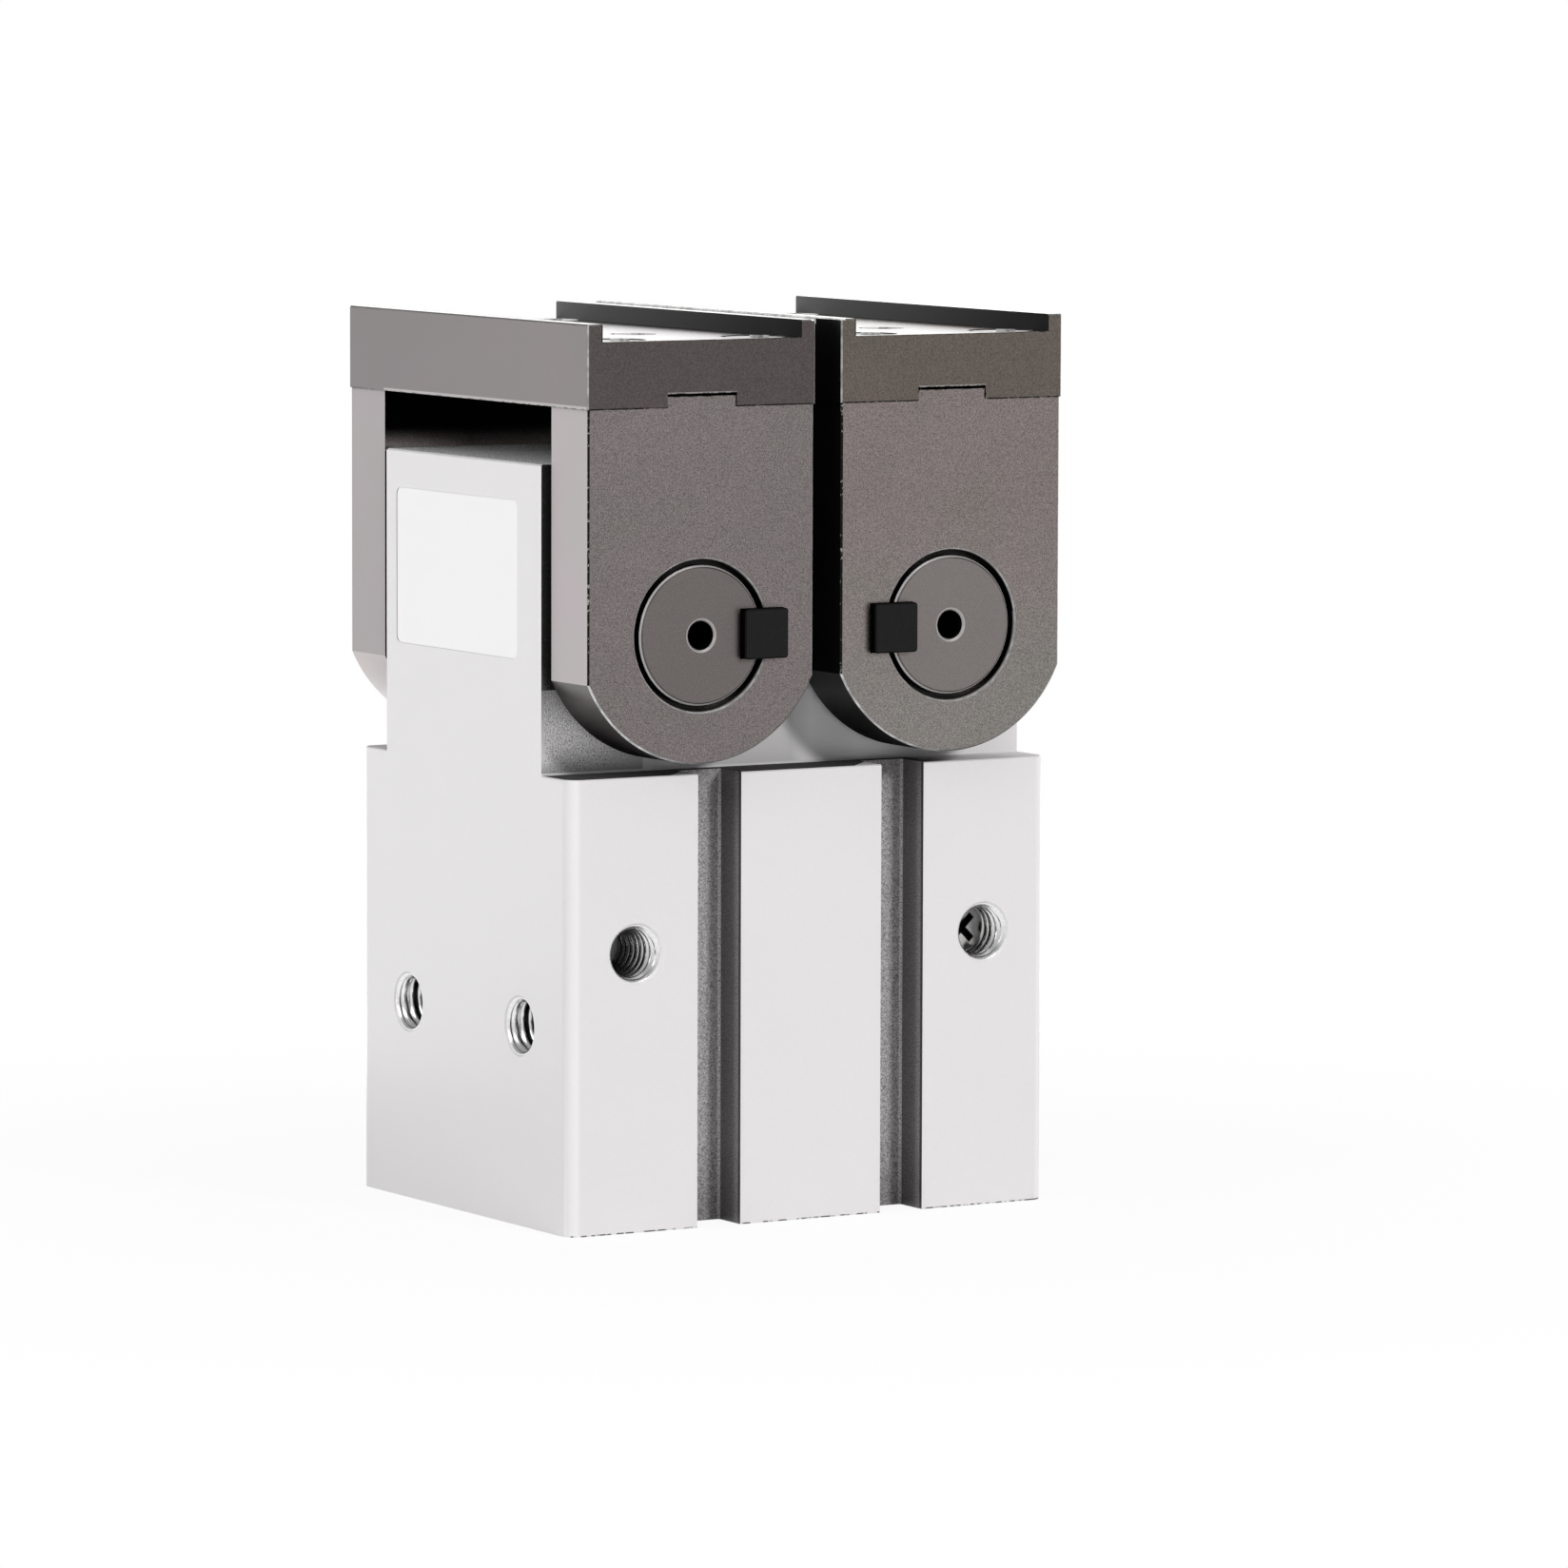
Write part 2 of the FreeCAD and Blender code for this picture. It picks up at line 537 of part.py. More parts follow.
def piston():
    """Piston with its three grooves, the rod's socket and the screw's counterbore."""
    radius = BORE_RADIUS - SLIDE_CLEARANCE
    body = turned([(0, PISTON_BOTTOM), (radius - PISTON_CHAMFER, PISTON_BOTTOM),
                   (radius, PISTON_BOTTOM + PISTON_CHAMFER), (radius, PISTON_TOP - PISTON_CHAMFER),
                   (radius - PISTON_CHAMFER, PISTON_TOP), (0, PISTON_TOP)])
    seal, magnet, wear = piston_groove_levels()
    grooves = [ring(BORE_RADIUS, radius - SEAL_DEPTH, seal, seal + SEAL_WIDTH),
               ring(BORE_RADIUS, radius - MAGNET_DEPTH, magnet, magnet + MAGNET_WIDTH),
               ring(BORE_RADIUS, radius - WEAR_RING_DEPTH, wear, wear + WEAR_RING_WIDTH)]
    head_hole = PISTON_SCREW_HEAD_DIAMETER / 2 + SLIDE_CLEARANCE
    head_seat = PISTON_BOTTOM + SLIDE_CLEARANCE + PISTON_SCREW_HEAD_HEIGHT
    shank_hole = PISTON_SCREW_THREAD / 2 + SLIDE_CLEARANCE
    socket = ROD_SPIGOT_DIAMETER / 2 + SEAT_CLEARANCE
    socket_floor = PISTON_TOP - ROD_SPIGOT_LENGTH
    hole = turned([(0, PISTON_BOTTOM), (head_hole, PISTON_BOTTOM), (head_hole, head_seat),
                   (shank_hole, head_seat), (shank_hole, socket_floor), (socket, socket_floor),
                   (socket, PISTON_TOP), (0, PISTON_TOP)])
    return body.cut(grooves + [hole])


def piston_seal():
    """Lip seal in the piston's lowest groove."""
    bottom = piston_groove_levels()[0] + SEAT_CLEARANCE
    top = bottom + SEAL_WIDTH - 2 * SEAT_CLEARANCE
    outer = BORE_RADIUS - SEAT_CLEARANCE
    inner = BORE_RADIUS - SLIDE_CLEARANCE - SEAL_DEPTH + SEAT_CLEARANCE
    middle = (bottom + top) / 2
    waist = outer - SEAL_DEPTH / 4
    return turned([(inner, bottom), (outer, bottom), (waist, middle), (outer, top), (inner, top)])


def piston_magnet():
    """Magnet ring that the switches in the grooves sense."""
    bottom = piston_groove_levels()[1] + SEAT_CLEARANCE
    inner = BORE_RADIUS - SLIDE_CLEARANCE - MAGNET_DEPTH + SEAT_CLEARANCE
    outer = BORE_RADIUS - 2 * SLIDE_CLEARANCE
    return ring(outer, inner, bottom, bottom + MAGNET_WIDTH - 2 * SEAT_CLEARANCE)


def piston_wear_ring():
    """Plastic ring that guides the piston in the bore."""
    bottom = piston_groove_levels()[2] + SEAT_CLEARANCE
    top = bottom + WEAR_RING_WIDTH - 2 * SEAT_CLEARANCE
    inner = BORE_RADIUS - SLIDE_CLEARANCE - WEAR_RING_DEPTH + SEAT_CLEARANCE
    return ring(BORE_RADIUS - RUNNING_CLEARANCE, inner, bottom, top)


def piston_screw():
    """Cap screw that clamps the piston to the rod from below."""
    bottom = PISTON_BOTTOM + SLIDE_CLEARANCE
    seat = bottom + PISTON_SCREW_HEAD_HEIGHT
    head = PISTON_SCREW_HEAD_DIAMETER / 2
    shank = PISTON_SCREW_THREAD / 2 - SEAT_CLEARANCE
    tip = seat + PISTON_SCREW_LENGTH
    body = turned([(0, bottom), (head, bottom), (head, seat), (shank, seat), (shank, tip), (0, tip)])
    return body.cut(hexagon_prism(PISTON_SCREW_HEX, (0, 0, bottom), Z_AXIS, PISTON_SCREW_HEAD_HEIGHT / 2))


def rack_side_points(side):
    """Rack teeth on one side, as (x, z) points from the bottom up."""
    slope = math.tan(math.radians(PRESSURE_ANGLE))
    half_pitch_width = TOOTH_PITCH / 4 - TOOTH_THINNING
    tip_half = half_pitch_width - GEAR_MODULE * slope
    root_half = half_pitch_width + (GEAR_MODULE + ROOT_CLEARANCE) * slope
    points = []
    for index in reversed(range(RACK_TEETH)):
        centre = PIVOT_Z + TOOTH_PITCH / 2 - index * TOOTH_PITCH
        points += [(side * RACK_ROOT_X, centre - root_half), (side * RACK_TIP_X, centre - tip_half),
                   (side * RACK_TIP_X, centre + tip_half), (side * RACK_ROOT_X, centre + root_half)]
    return points


def rack_rod():
    """Round rod with a bar on top that has rack teeth on both sides."""
    right = [(RACK_ROOT_X, RACK_BOTTOM)] + rack_side_points(1)
    left = [(-RACK_ROOT_X, RACK_BOTTOM)] + rack_side_points(-1)
    outline = [V(x, -RACK_THICKNESS / 2, z) for x, z in right + left[::-1]]
    bar = Part.Face(Part.makePolygon(outline + outline[:1])).extrude(V(0, RACK_THICKNESS, 0))
    end = box((-RACK_TIP_X, -RACK_THICKNESS / 2, RACK_TOP), (RACK_TIP_X, RACK_THICKNESS / 2, CAVITY_TOP))
    rod_radius = ROD_DIAMETER / 2
    spigot_radius = ROD_SPIGOT_DIAMETER / 2
    spigot_end = PISTON_TOP - ROD_SPIGOT_LENGTH
    rod = turned([(0, spigot_end), (spigot_radius, spigot_end), (spigot_radius, PISTON_TOP),
                  (rod_radius, PISTON_TOP), (rod_radius, RACK_BOTTOM), (0, RACK_BOTTOM)])
    screw_seat = PISTON_BOTTOM + SLIDE_CLEARANCE + PISTON_SCREW_HEAD_HEIGHT
    screw_hole_depth = PISTON_SCREW_LENGTH + SLIDE_CLEARANCE
    screw_hole = cylinder(PISTON_SCREW_THREAD / 2, (0, 0, screw_seat), Z_AXIS, screw_hole_depth)
    return bar.cut(end).fuse(rod).removeSplitter().cut(screw_hole)


# Pinion shafts and bushes

def involute(angle):
    """Involute function of a pressure angle in radians."""
    return math.tan(angle) - angle


def flank_half_angle(radius):
    """Half the angle that a tooth fills at a radius on or outside the base circle."""
    pitch_half = math.pi / (2 * PINION_TEETH) - TOOTH_THINNING / PITCH_RADIUS
    pressure = math.acos(min(1.0, BASE_RADIUS / radius))
    return pitch_half + involute(math.radians(PRESSURE_ANGLE)) - involute(pressure)


def polar(radius, angle):
    """Point in the XZ plane, measured from the shaft's axis at the pinion's front end."""
    return V(radius * math.cos(angle), -GEAR_FACE / 2, radius * math.sin(angle))


def tooth_edges(centre):
    """Edges of one tooth, from its root on one side over the tip to its root on the other."""
    start = max(BASE_RADIUS, ROOT_RADIUS)
    step = (TIP_RADIUS - start) / (FLANK_POINTS - 1)
    radii = [start + step * index for index in range(FLANK_POINTS)]
    rising = [polar(radius, centre - flank_half_angle(radius)) for radius in radii]
    falling = [polar(radius, centre + flank_half_angle(radius)) for radius in reversed(radii)]
    root_half = flank_half_angle(start)
    edges = []
    for points in (rising, falling):
        curve = Part.BSplineCurve()
        curve.interpolate(points)
        edges.append(curve.toShape())
    tip = Part.Arc(rising[-1], polar(TIP_RADIUS, centre), falling[0]).toShape()
    foot_in = Part.makeLine(polar(ROOT_RADIUS, centre - root_half), rising[0])
    foot_out = Part.makeLine(falling[-1], polar(ROOT_RADIUS, centre + root_half))
    following = centre + 2 * math.pi / PINION_TEETH
    root = Part.Arc(polar(ROOT_RADIUS, centre + root_half), polar(ROOT_RADIUS, (centre + following) / 2),
                    polar(ROOT_RADIUS, following - root_half)).toShape()
    return [foot_in, edges[0], tip, edges[1], foot_out, root]


def at_left_pivot(shape):
    """Move a shape made round its own Y axis to the left finger's pivot."""
    shape.translate(V(-PIVOT_X, 0, PIVOT_Z))
    return shape


def key_space(clearance):
    """Square space for a front key, half in the shaft and half in the plate."""
    half = KEY_SIZE / 2 + clearance
    return box((SHAFT_RADIUS - half, -PLATE_OUTER, -half), (SHAFT_RADIUS + half, -PLATE_INNER, half))


def pinion_shaft():
    """Left shaft: a pinion between two journals, each with a keyway and a centre hole."""
    edges = []
    for index in range(PINION_TEETH):
        edges += tooth_edges(2 * math.pi * index / PINION_TEETH)
    pinion = Part.Face(Part.Wire(edges)).extrude(V(0, GEAR_FACE, 0))
    start = GEAR_FACE / 2
    end = PLATE_OUTER
    journal = turned([(0, start), (SHAFT_RADIUS, start), (SHAFT_RADIUS, end - SHAFT_CHAMFER),
                      (SHAFT_RADIUS - SHAFT_CHAMFER, end), (0, end)], ORIGIN, V(0, -1, 0))
    centre_hole = hole_tool(CENTRE_HOLE_DIAMETER, CENTRE_HOLE_DEPTH, (0, -end, 0), Y_AXIS)
    journal = journal.cut([centre_hole, key_space(SEAT_CLEARANCE)])
    return at_left_pivot(pinion.fuse([journal, mirrored_y(journal)]).removeSplitter())


def front_bush():
    """Left front bush, flanged on the head's face."""
    bore = SHAFT_RADIUS + RUNNING_CLEARANCE
    sleeve = CHAMBER_RADIUS - SEAT_CLEARANCE
    flange = BUSH_FLANGE_DIAMETER / 2
    face = HEAD_FACE + BUSH_FLANGE_THICKNESS
    return at_left_pivot(turned([
        (bore, GEAR_FACE / 2 + BUSH_GAP), (sleeve, GEAR_FACE / 2 + BUSH_GAP), (sleeve, HEAD_FACE),
        (flange, HEAD_FACE), (flange, face), (bore, face)], ORIGIN, V(0, -1, 0)))


def front_key():
    """Left front key with rounded corners and its outer edges broken."""
    outline = Part.Face(rounded_rectangle(KEY_SIZE, KEY_SIZE, KEY_CORNER_RADIUS))
    blank = outline.extrude(V(0, 0, PLATE_THICKNESS + KEY_PROUD))
    blank = blank.makeChamfer(KEY_CHAMFER, edges_on_plane(blank, "Z", 0))
    return at_left_pivot(placed(blank, (SHAFT_RADIUS, -PLATE_OUTER - KEY_PROUD, 0), Y_AXIS))


# Fingers

def plate_outline():
    """Wire of a finger plate on its inner face: square top, straight sides and arched foot."""
    half = PLATE_WIDTH / 2
    top = PLATE_TOP - PIVOT_Z
    inner = -PLATE_INNER
    left_foot = V(-half, inner, FOOT_CORNER)
    right_foot = V(half, inner, FOOT_CORNER)
    left_top = V(-half, inner, top)
    right_top = V(half, inner, top)
    foot = Part.Arc(right_foot, V(0, inner, -PLATE_FOOT_DROP), left_foot).toShape()
    return Part.Wire([Part.makeLine(left_foot, left_top), Part.makeLine(left_top, right_top),
                      Part.makeLine(right_top, right_foot), foot])


def screw_places():
    """Places of a finger's two front screws, from its own middle."""
    return [(-SCREW_SPACING / 2, -PLATE_MIDDLE), (SCREW_SPACING / 2, -PLATE_MIDDLE)]


def shaft_bore_tool():
    """Cutter for the plate's bore, with the chamfered relief ring round the shaft's end."""
    bore = SHAFT_RADIUS + SEAT_CLEARANCE
    relief = bore + PLATE_RELIEF_WIDTH
    chamfer = PLATE_RELIEF_CHAMFER
    return turned([(0, 0), (relief + chamfer, 0), (relief, chamfer), (relief, PLATE_RELIEF_DEPTH),
                   (bore, PLATE_RELIEF_DEPTH), (bore, PLATE_THICKNESS), (0, PLATE_THICKNESS)],
                  (0, -PLATE_OUTER, 0), Y_AXIS)


def front_plate():
    """Left front plate with the shaft's bore, the keyway, a tongue and two tapped holes."""
    plate = Part.Face(plate_outline()).extrude(V(0, -PLATE_THICKNESS, 0))
    outer_edges = edges_on_plane(plate, "Y", -PLATE_OUTER)
    side_edges = [edge for edge in outer_edges if edge.BoundBox.ZLength > PLATE_EDGE_BREAK]
    plate = plate.makeChamfer(PLATE_EDGE_BREAK, side_edges)
    top = PLATE_TOP - PIVOT_Z
    tongue = box((-TONGUE_WIDTH / 2, -PLATE_OUTER, top - TONGUE_HEIGHT),
                 (TONGUE_WIDTH / 2, -PLATE_INNER, top + TONGUE_HEIGHT))
    tools = [shaft_bore_tool(), key_space(SEAT_CLEARANCE)]
    grip = SCREW_LENGTH - screw_bar_thickness() + SCREW_THREAD / 2
    for x, y in screw_places():
        tools.append(cylinder(SCREW_THREAD / 2, (x, y, top - grip), Z_AXIS, grip))
    return at_left_pivot(plate.fuse(tongue).removeSplitter().cut(tools))


def screw_bar_thickness():
    """Crossbar material under a screw's head."""
    return CROSSBAR_FLOOR - SCREW_HEAD_HEIGHT - SCREW_HEAD_SINK


def crossbar():
    """Left crossbar: a floor between two lips, with a tongue slot, screw holes and jaw holes."""
    half = PLATE_WIDTH / 2 + CROSSBAR_SIDE_OVERHANG
    end = PLATE_OUTER + CROSSBAR_END_OVERHANG
    bottom = PLATE_TOP - PIVOT_Z
    floor = bottom + CROSSBAR_FLOOR
    bar = box((-half, -end, bottom), (half, end, floor + LIP_HEIGHT))
    upper_edges = [edge for edge in bar.Edges if edge.BoundBox.ZMax > floor]
    bar = bar.makeChamfer(CROSSBAR_EDGE_BREAK, upper_edges)
    slot_half = TONGUE_WIDTH / 2 + TONGUE_SIDE_GAP
    slot_top = bottom + TONGUE_HEIGHT + TONGUE_TOP_GAP
    tools = [box((LIP_WIDTH - half, -end, floor), (half - LIP_WIDTH, end, floor + LIP_HEIGHT)),
             box((-slot_half, -end, bottom), (slot_half, end, slot_top))]
    sink = SCREW_HEAD_HEIGHT + SCREW_HEAD_SINK
    hole = SCREW_THREAD / 2 + SCREW_HOLE_CLEARANCE
    counterbore = SCREW_HEAD_DIAMETER / 2 + SCREW_HEAD_CLEARANCE
    for x, front_y in screw_places():
        for y in (front_y, -front_y):
            tools.append(cylinder(hole, (x, y, bottom), Z_AXIS, CROSSBAR_FLOOR))
            tools.append(cylinder(counterbore, (x, y, floor - sink), Z_AXIS, sink))
    for y in (-JAW_HOLE_SPACING / 2, JAW_HOLE_SPACING / 2):
        tools.append(cylinder(JAW_THREAD / 2, (0, y, bottom), Z_AXIS, CROSSBAR_FLOOR))
    return at_left_pivot(bar.cut(tools))


def cap_screw():
    """Socket cap screw standing on the underside of its head, pointing down."""
    head = cylinder(SCREW_HEAD_DIAMETER / 2, ORIGIN, Z_AXIS, SCREW_HEAD_HEIGHT)
    shank = cylinder(SCREW_THREAD / 2 - SEAT_CLEARANCE, (0, 0, -SCREW_LENGTH), Z_AXIS, SCREW_LENGTH)
    socket = hexagon_prism(SCREW_HEX, (0, 0, SCREW_HEAD_HEIGHT - SCREW_HEX_DEPTH), Z_AXIS, SCREW_HEX_DEPTH)
    return head.fuse(shank).removeSplitter().cut(socket)


def crossbar_screws():
    """The four screws that hold the left crossbar on its two plates."""
    seat = PLATE_TOP - PIVOT_Z + screw_bar_thickness()
    screws = []
    for x, front_y in screw_places():
        for y in (front_y, -front_y):
            screw = cap_screw()
            screw.translate(V(x, y, seat))
            screws.append(screw)
    return at_left_pivot(Part.makeCompound(screws))


# Assembly

def finger_pieces():
    """Pieces of both fingers, the right ones mirrored from the left ones."""
    plate = front_plate()
    key = front_key()
    left = {"pinion_shaft": pinion_shaft(), "front_plate": plate, "rear_plate": mirrored_y(plate),
            "front_key": key, "rear_key": mirrored_y(key), "crossbar": crossbar(),
            "crossbar_screws": crossbar_screws()}
    pieces = {}
    for name, shape in left.items():
        pieces["left_" + name] = shape
        pieces["right_" + name] = mirrored_x(shape)
    return pieces


def bush_pieces():
    """The four flanged bushes in the head."""
    left_front = front_bush()
    left_rear = mirrored_y(left_front)
    return {"left_front_bush": left_front, "left_rear_bush": left_rear,
            "right_front_bush": mirrored_x(left_front), "right_rear_bush": mirrored_x(left_rear)}


def cylinder_pieces():
    """Pieces that close the cylinder at both ends."""
    cap_ring = CAP_RADIUS + CAP_GROOVE_DEPTH - SEAT_CLEARANCE
    gland_ring = BORE_RADIUS + GLAND_GROOVE_DEPTH - SEAT_CLEARANCE
    return {"end_cap": end_cap(),
            "end_cap_o_ring": o_ring(CAP_RADIUS, CAP_BOTTOM + CAP_THICKNESS / 2),
            "end_cap_retaining_ring": retaining_ring(cap_ring, CAP_RECESS),
            "closing_bumper": bumper(CAP_TOP - BUMPER_SEAT, CAP_TOP + CLOSING_BUMPER_PROUD),
            "rod_gland": rod_gland(),
            "gland_o_ring": o_ring(BORE_RADIUS, (GLAND_BOTTOM + GLAND_TOP) / 2),
            "rod_seal": rod_seal(),
            "gland_retaining_ring": retaining_ring(gland_ring, GLAND_BOTTOM - RING_THICKNESS),
            "opening_bumper": bumper(GLAND_BOTTOM - OPENING_BUMPER_PROUD, GLAND_BOTTOM + BUMPER_SEAT)}


def rack_pieces():
    """Pieces that slide with the piston."""
    return {"piston": piston(), "piston_seal": piston_seal(), "piston_magnet": piston_magnet(),
            "piston_wear_ring": piston_wear_ring(), "piston_screw": piston_screw(), "rack_rod": rack_rod()}


def all_pieces():
    """Every piece of the gripper by name."""
    pieces = {"housing_block": housing_block(), "nameplate": nameplate(),
              "port_restrictor": port_restrictor()}
    pieces.update(cylinder_pieces())
    pieces.update(bush_pieces())
    pieces.update(rack_pieces())
    pieces.update(finger_pieces())
    return pieces


os.makedirs("parts", exist_ok=True)
for piece_name, piece_shape in all_pieces().items():
    piece_shape.exportStep("parts/" + piece_name + ".step")
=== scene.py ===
"""Looks of a pneumatic angular gripper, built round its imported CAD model.

Metres, in the CAD frame: +Z up, the front with the ports and switch grooves faces -Y.
"""
import json
import math

import bmesh
import bpy
from mathutils import Matrix, Vector


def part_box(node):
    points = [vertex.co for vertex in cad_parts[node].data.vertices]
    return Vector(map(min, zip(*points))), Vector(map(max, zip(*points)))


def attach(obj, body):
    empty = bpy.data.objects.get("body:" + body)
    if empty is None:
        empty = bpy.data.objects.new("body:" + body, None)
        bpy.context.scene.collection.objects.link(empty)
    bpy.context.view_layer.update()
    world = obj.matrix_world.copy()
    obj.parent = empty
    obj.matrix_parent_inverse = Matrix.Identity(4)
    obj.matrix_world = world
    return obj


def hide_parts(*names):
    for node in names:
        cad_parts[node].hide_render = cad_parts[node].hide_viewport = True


MM = 0.001

# Camera, found by fitting corners of the housing and fingers in the photograph, in pixels, degrees and mm
IMAGE_SIZE = 1648
FOCAL_PIXELS = 9412.52
CAMERA_AZIMUTH = 30.8718
CAMERA_ELEVATION = 5.4894
CAMERA_ROLL = 0.1727
CAMERA_SIDE = 7.2275
CAMERA_RISE = -6.3800
CAMERA_DISTANCE = 787.949
AIM_HEIGHT = 42.667
SENSOR_WIDTH = 36.0

# Housing: sizes of its features and places where its finish, painted shade and painted light change, in mm
GROOVE_WIDTH = 4.3
GROOVE_DEPTH = 3.6
GROOVE_SIDE_MARGIN = 0.03
GROOVE_FLOOR_MARGIN = 0.05
GROOVE_BAND_BACK = 1.4
GROOVE_BAND_FRONT = 0.8
GROOVE_EDGE_LINE = 0.42
GROOVE_FOOT_FADE = 7.0
GROOVE_TOP_FADE = 6.0
LEVEL_MARGIN = 0.2
LEDGE_DROP = 1.1
LEDGE_LIT_WEDGE = 2.8
LEDGE_DARK_X = 12.0
LEDGE_LIGHT_X = 15.0
HEAD_MARGIN = 0.3
HEAD_END_STRIP = 1.8
FOOT_KINK_HEIGHT = 46.5
FOOT_SIDE_X = 14.0
FOOT_COARSE_X = 18.0
FOOT_CONTACT_RISE = 2.4
FOOT_SHADE_RISE = 3.6
BETWEEN_FEET_X = 10.0
BETWEEN_FEET_END_X = 13.0
FEET_LIT_X = 0.8
FEET_SHADOW_X = 2.8
BASE_GLOW_HEIGHT = 20.0
SOLE_LINE_HEIGHT = 0.12
SOLE_LINE_DEPTH = 0.4
RESTRICTOR_SLOT_START = 0.15

# Fingers: sizes of their features and places where their finish, painted shade, painted highlights and painted
# reflection change, in mm
CENTRE_HOLE_RADIUS = 1.25
HOLE_RING_OFFSET = 0.12
HOLE_RING_HALF = 0.11
SHAFT_RADIUS = 6.0
SHAFT_RIM_WIDTH = 0.14
RELIEF_RADIUS = 6.48
RELIEF_MARGIN = 0.07
PLATE_FACE_RADIUS = 8.0
FACE_MARGIN = 0.1
FRONT_MARGIN = 0.05
GAP_MARGIN = 0.2
INNER_FACE_DROP = 0.3
MIRROR_HEIGHT = 1.8
MIRROR_FAINT_X = 15.0
MIRROR_FULL_X = 21.0
LOW_LIGHT_TINT_TOP = 11.0
LOW_LIGHT_TINT_FULL = 7.0
SLOT_HEIGHT = 1.15
SLOT_HALF_WIDTH = 3.4
SEAM_HALF = 0.06
SEAM_DROP = 0.3
LOWER_RIM_HALF = 0.12
LIP_WIDTH = 1.45
LIP_HEIGHT = 1.5
LIP_EDGE_REACH = 0.4
LIP_RIM_HEIGHT = 0.6
LIP_RIM_START = 4.3
SCREW_SEAT_RISE = 1.3
SCREW_HOLE_LINE = 0.10
FLOOR_MARGIN = 0.01

# Crossbar screws, in mm; the rim is a list of insets from the head's radius and drops from its top
SCREW_HEAD_RADIUS = 2.75
SCREW_HEAD_HEIGHT = 3.0
SCREW_SHANK_RADIUS = 1.48
SCREW_LENGTH = 8.0
SCREW_HEX = 2.5
SCREW_HEX_DEPTH = 1.4
SCREW_HEX_CHAMFER_WIDTH = 0.14
SCREW_HEX_CHAMFER_DROP = 0.10
SCREW_TIP_CHAMFER = 0.35
SCREW_SEAT_CHAMFER = 0.15
SCREW_KNURL = 0.07
SCREW_KNURL_END = 0.42
SCREW_RIM = ((0.07, 0.30), (0.22, 0.08), (0.45, 0.0))

# Tapped holes, in mm, apart from shares of a pitch and an angle in degrees
HOLE_COUNTERSINK = 0.15
PORT_THREAD_DEPTHS = {"left_port": 6.9, "right_port": 3.5}
THREAD_START = 0.35
MOUNT_THREAD_DEPTH = 7.9
JAW_THREAD_DEPTH = 4.6
MOUNT_THREAD = 5.0
JAW_THREAD = 4.0
THREAD_PITCHES = {MOUNT_THREAD: 0.8, JAW_THREAD: 0.7}
THREAD_ROOT_MARGIN = 0.03
LINING_MARGIN = 0.006
CREST_SHARE = 0.52
FADE_SHARE = 0.3
THREAD_SMOOTH_ANGLE = 50.0

# Broken marks, the broken painted contact shadow at the sole, patches of wear and painted highlight, and
# patches of painted gleam, in repeats per metre
SOLE_BREAKS = 900.0
SEAM_BREAKS = 1500.0
EDGE_BREAKS = 1800.0
RUBBED_AND_LIT_PATCHES = 1200.0
GLEAM_PATCHES = 700.0

# Roughness and metal share of the main finishes
HOUSING_ROUGHNESS = 0.32
FINGER_ROUGHNESS = 0.30
DULL_ROUGHNESS = 0.95
FINGER_METAL = 0.9

# Painted shade: how dark covered faces and the gap between the fingers get, as a share of their own colour
LEDGE_DARK = 0.045
TOP_DARK = 0.05
END_STRIP_DARK = 0.03
GAP_DARK = 0.02

# Stage, in metres, and strength of the world's light
FLOOR_RADIUS = 4.0
FLOOR_GAP = 0.00005
SHADOW_NEAR = 0.04
SHADOW_FAR = 0.12
WORLD_LIGHT = 0.30
VIEW_NEAR = 0.01
VIEW_FAR = 50.0

# Colours that several finishes share, and shares of the normal on flat, leaning and 45 degree faces
WHITE = (1, 1, 1, 1)
# Light grey of the painted highlights on rims and edge lines
HIGHLIGHT_METAL = (0.75, 0.72, 0.72, 1)
# Black of seams and marks, also used for painted shade in recesses
BLACK_MARK_AND_SHADE = (0.008, 0.008, 0.008, 1)
FLAT_SHARE = 0.9
LEANING_SHARE = 0.6
CHAMFER_SHARE = math.sqrt(0.5)

# The two fingers: side of X, colours of plates, crossbar and shaft end, how dark the painted shade on the
# foot's underside is, and tint of the lower plate, which on the right finger also carries painted light
FINGERS = {
    "left": {"side": -1, "plate": (0.162, 0.143, 0.143, 1), "bar": (0.076, 0.064, 0.064, 1), "foot": 0.75,
             "low_light_tint": WHITE, "shaft": (0.126, 0.113, 0.109, 1)},
    "right": {"side": 1, "plate": (0.180, 0.155, 0.151, 1), "bar": (0.108, 0.093, 0.081, 1), "foot": 0.19,
              "low_light_tint": (1.10, 1.19, 1.155, 1), "shaft": (0.165, 0.148, 0.143, 1)},
}

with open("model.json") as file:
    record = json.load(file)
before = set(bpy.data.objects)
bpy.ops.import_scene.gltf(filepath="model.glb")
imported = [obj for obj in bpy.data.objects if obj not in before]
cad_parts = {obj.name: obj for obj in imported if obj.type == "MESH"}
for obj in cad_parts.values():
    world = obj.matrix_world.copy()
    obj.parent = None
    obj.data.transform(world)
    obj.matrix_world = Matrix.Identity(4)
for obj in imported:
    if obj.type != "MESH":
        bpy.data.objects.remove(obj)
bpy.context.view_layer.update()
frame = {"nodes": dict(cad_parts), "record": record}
MOUNTS = {mount["name"]: mount for mount in frame["record"]["mounts"]}
BLOCK_LOW, BLOCK_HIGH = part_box("housing_block")
SHAFT_LOW, SHAFT_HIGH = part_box("right_pinion_shaft")
BAR_LOW, BAR_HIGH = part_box("right_crossbar")
PLATE_LOW, PLATE_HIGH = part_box("right_front_plate")
PIVOT_X = (SHAFT_LOW.x + SHAFT_HIGH.x) / 2
PIVOT_Z = (SHAFT_LOW.z + SHAFT_HIGH.z) / 2
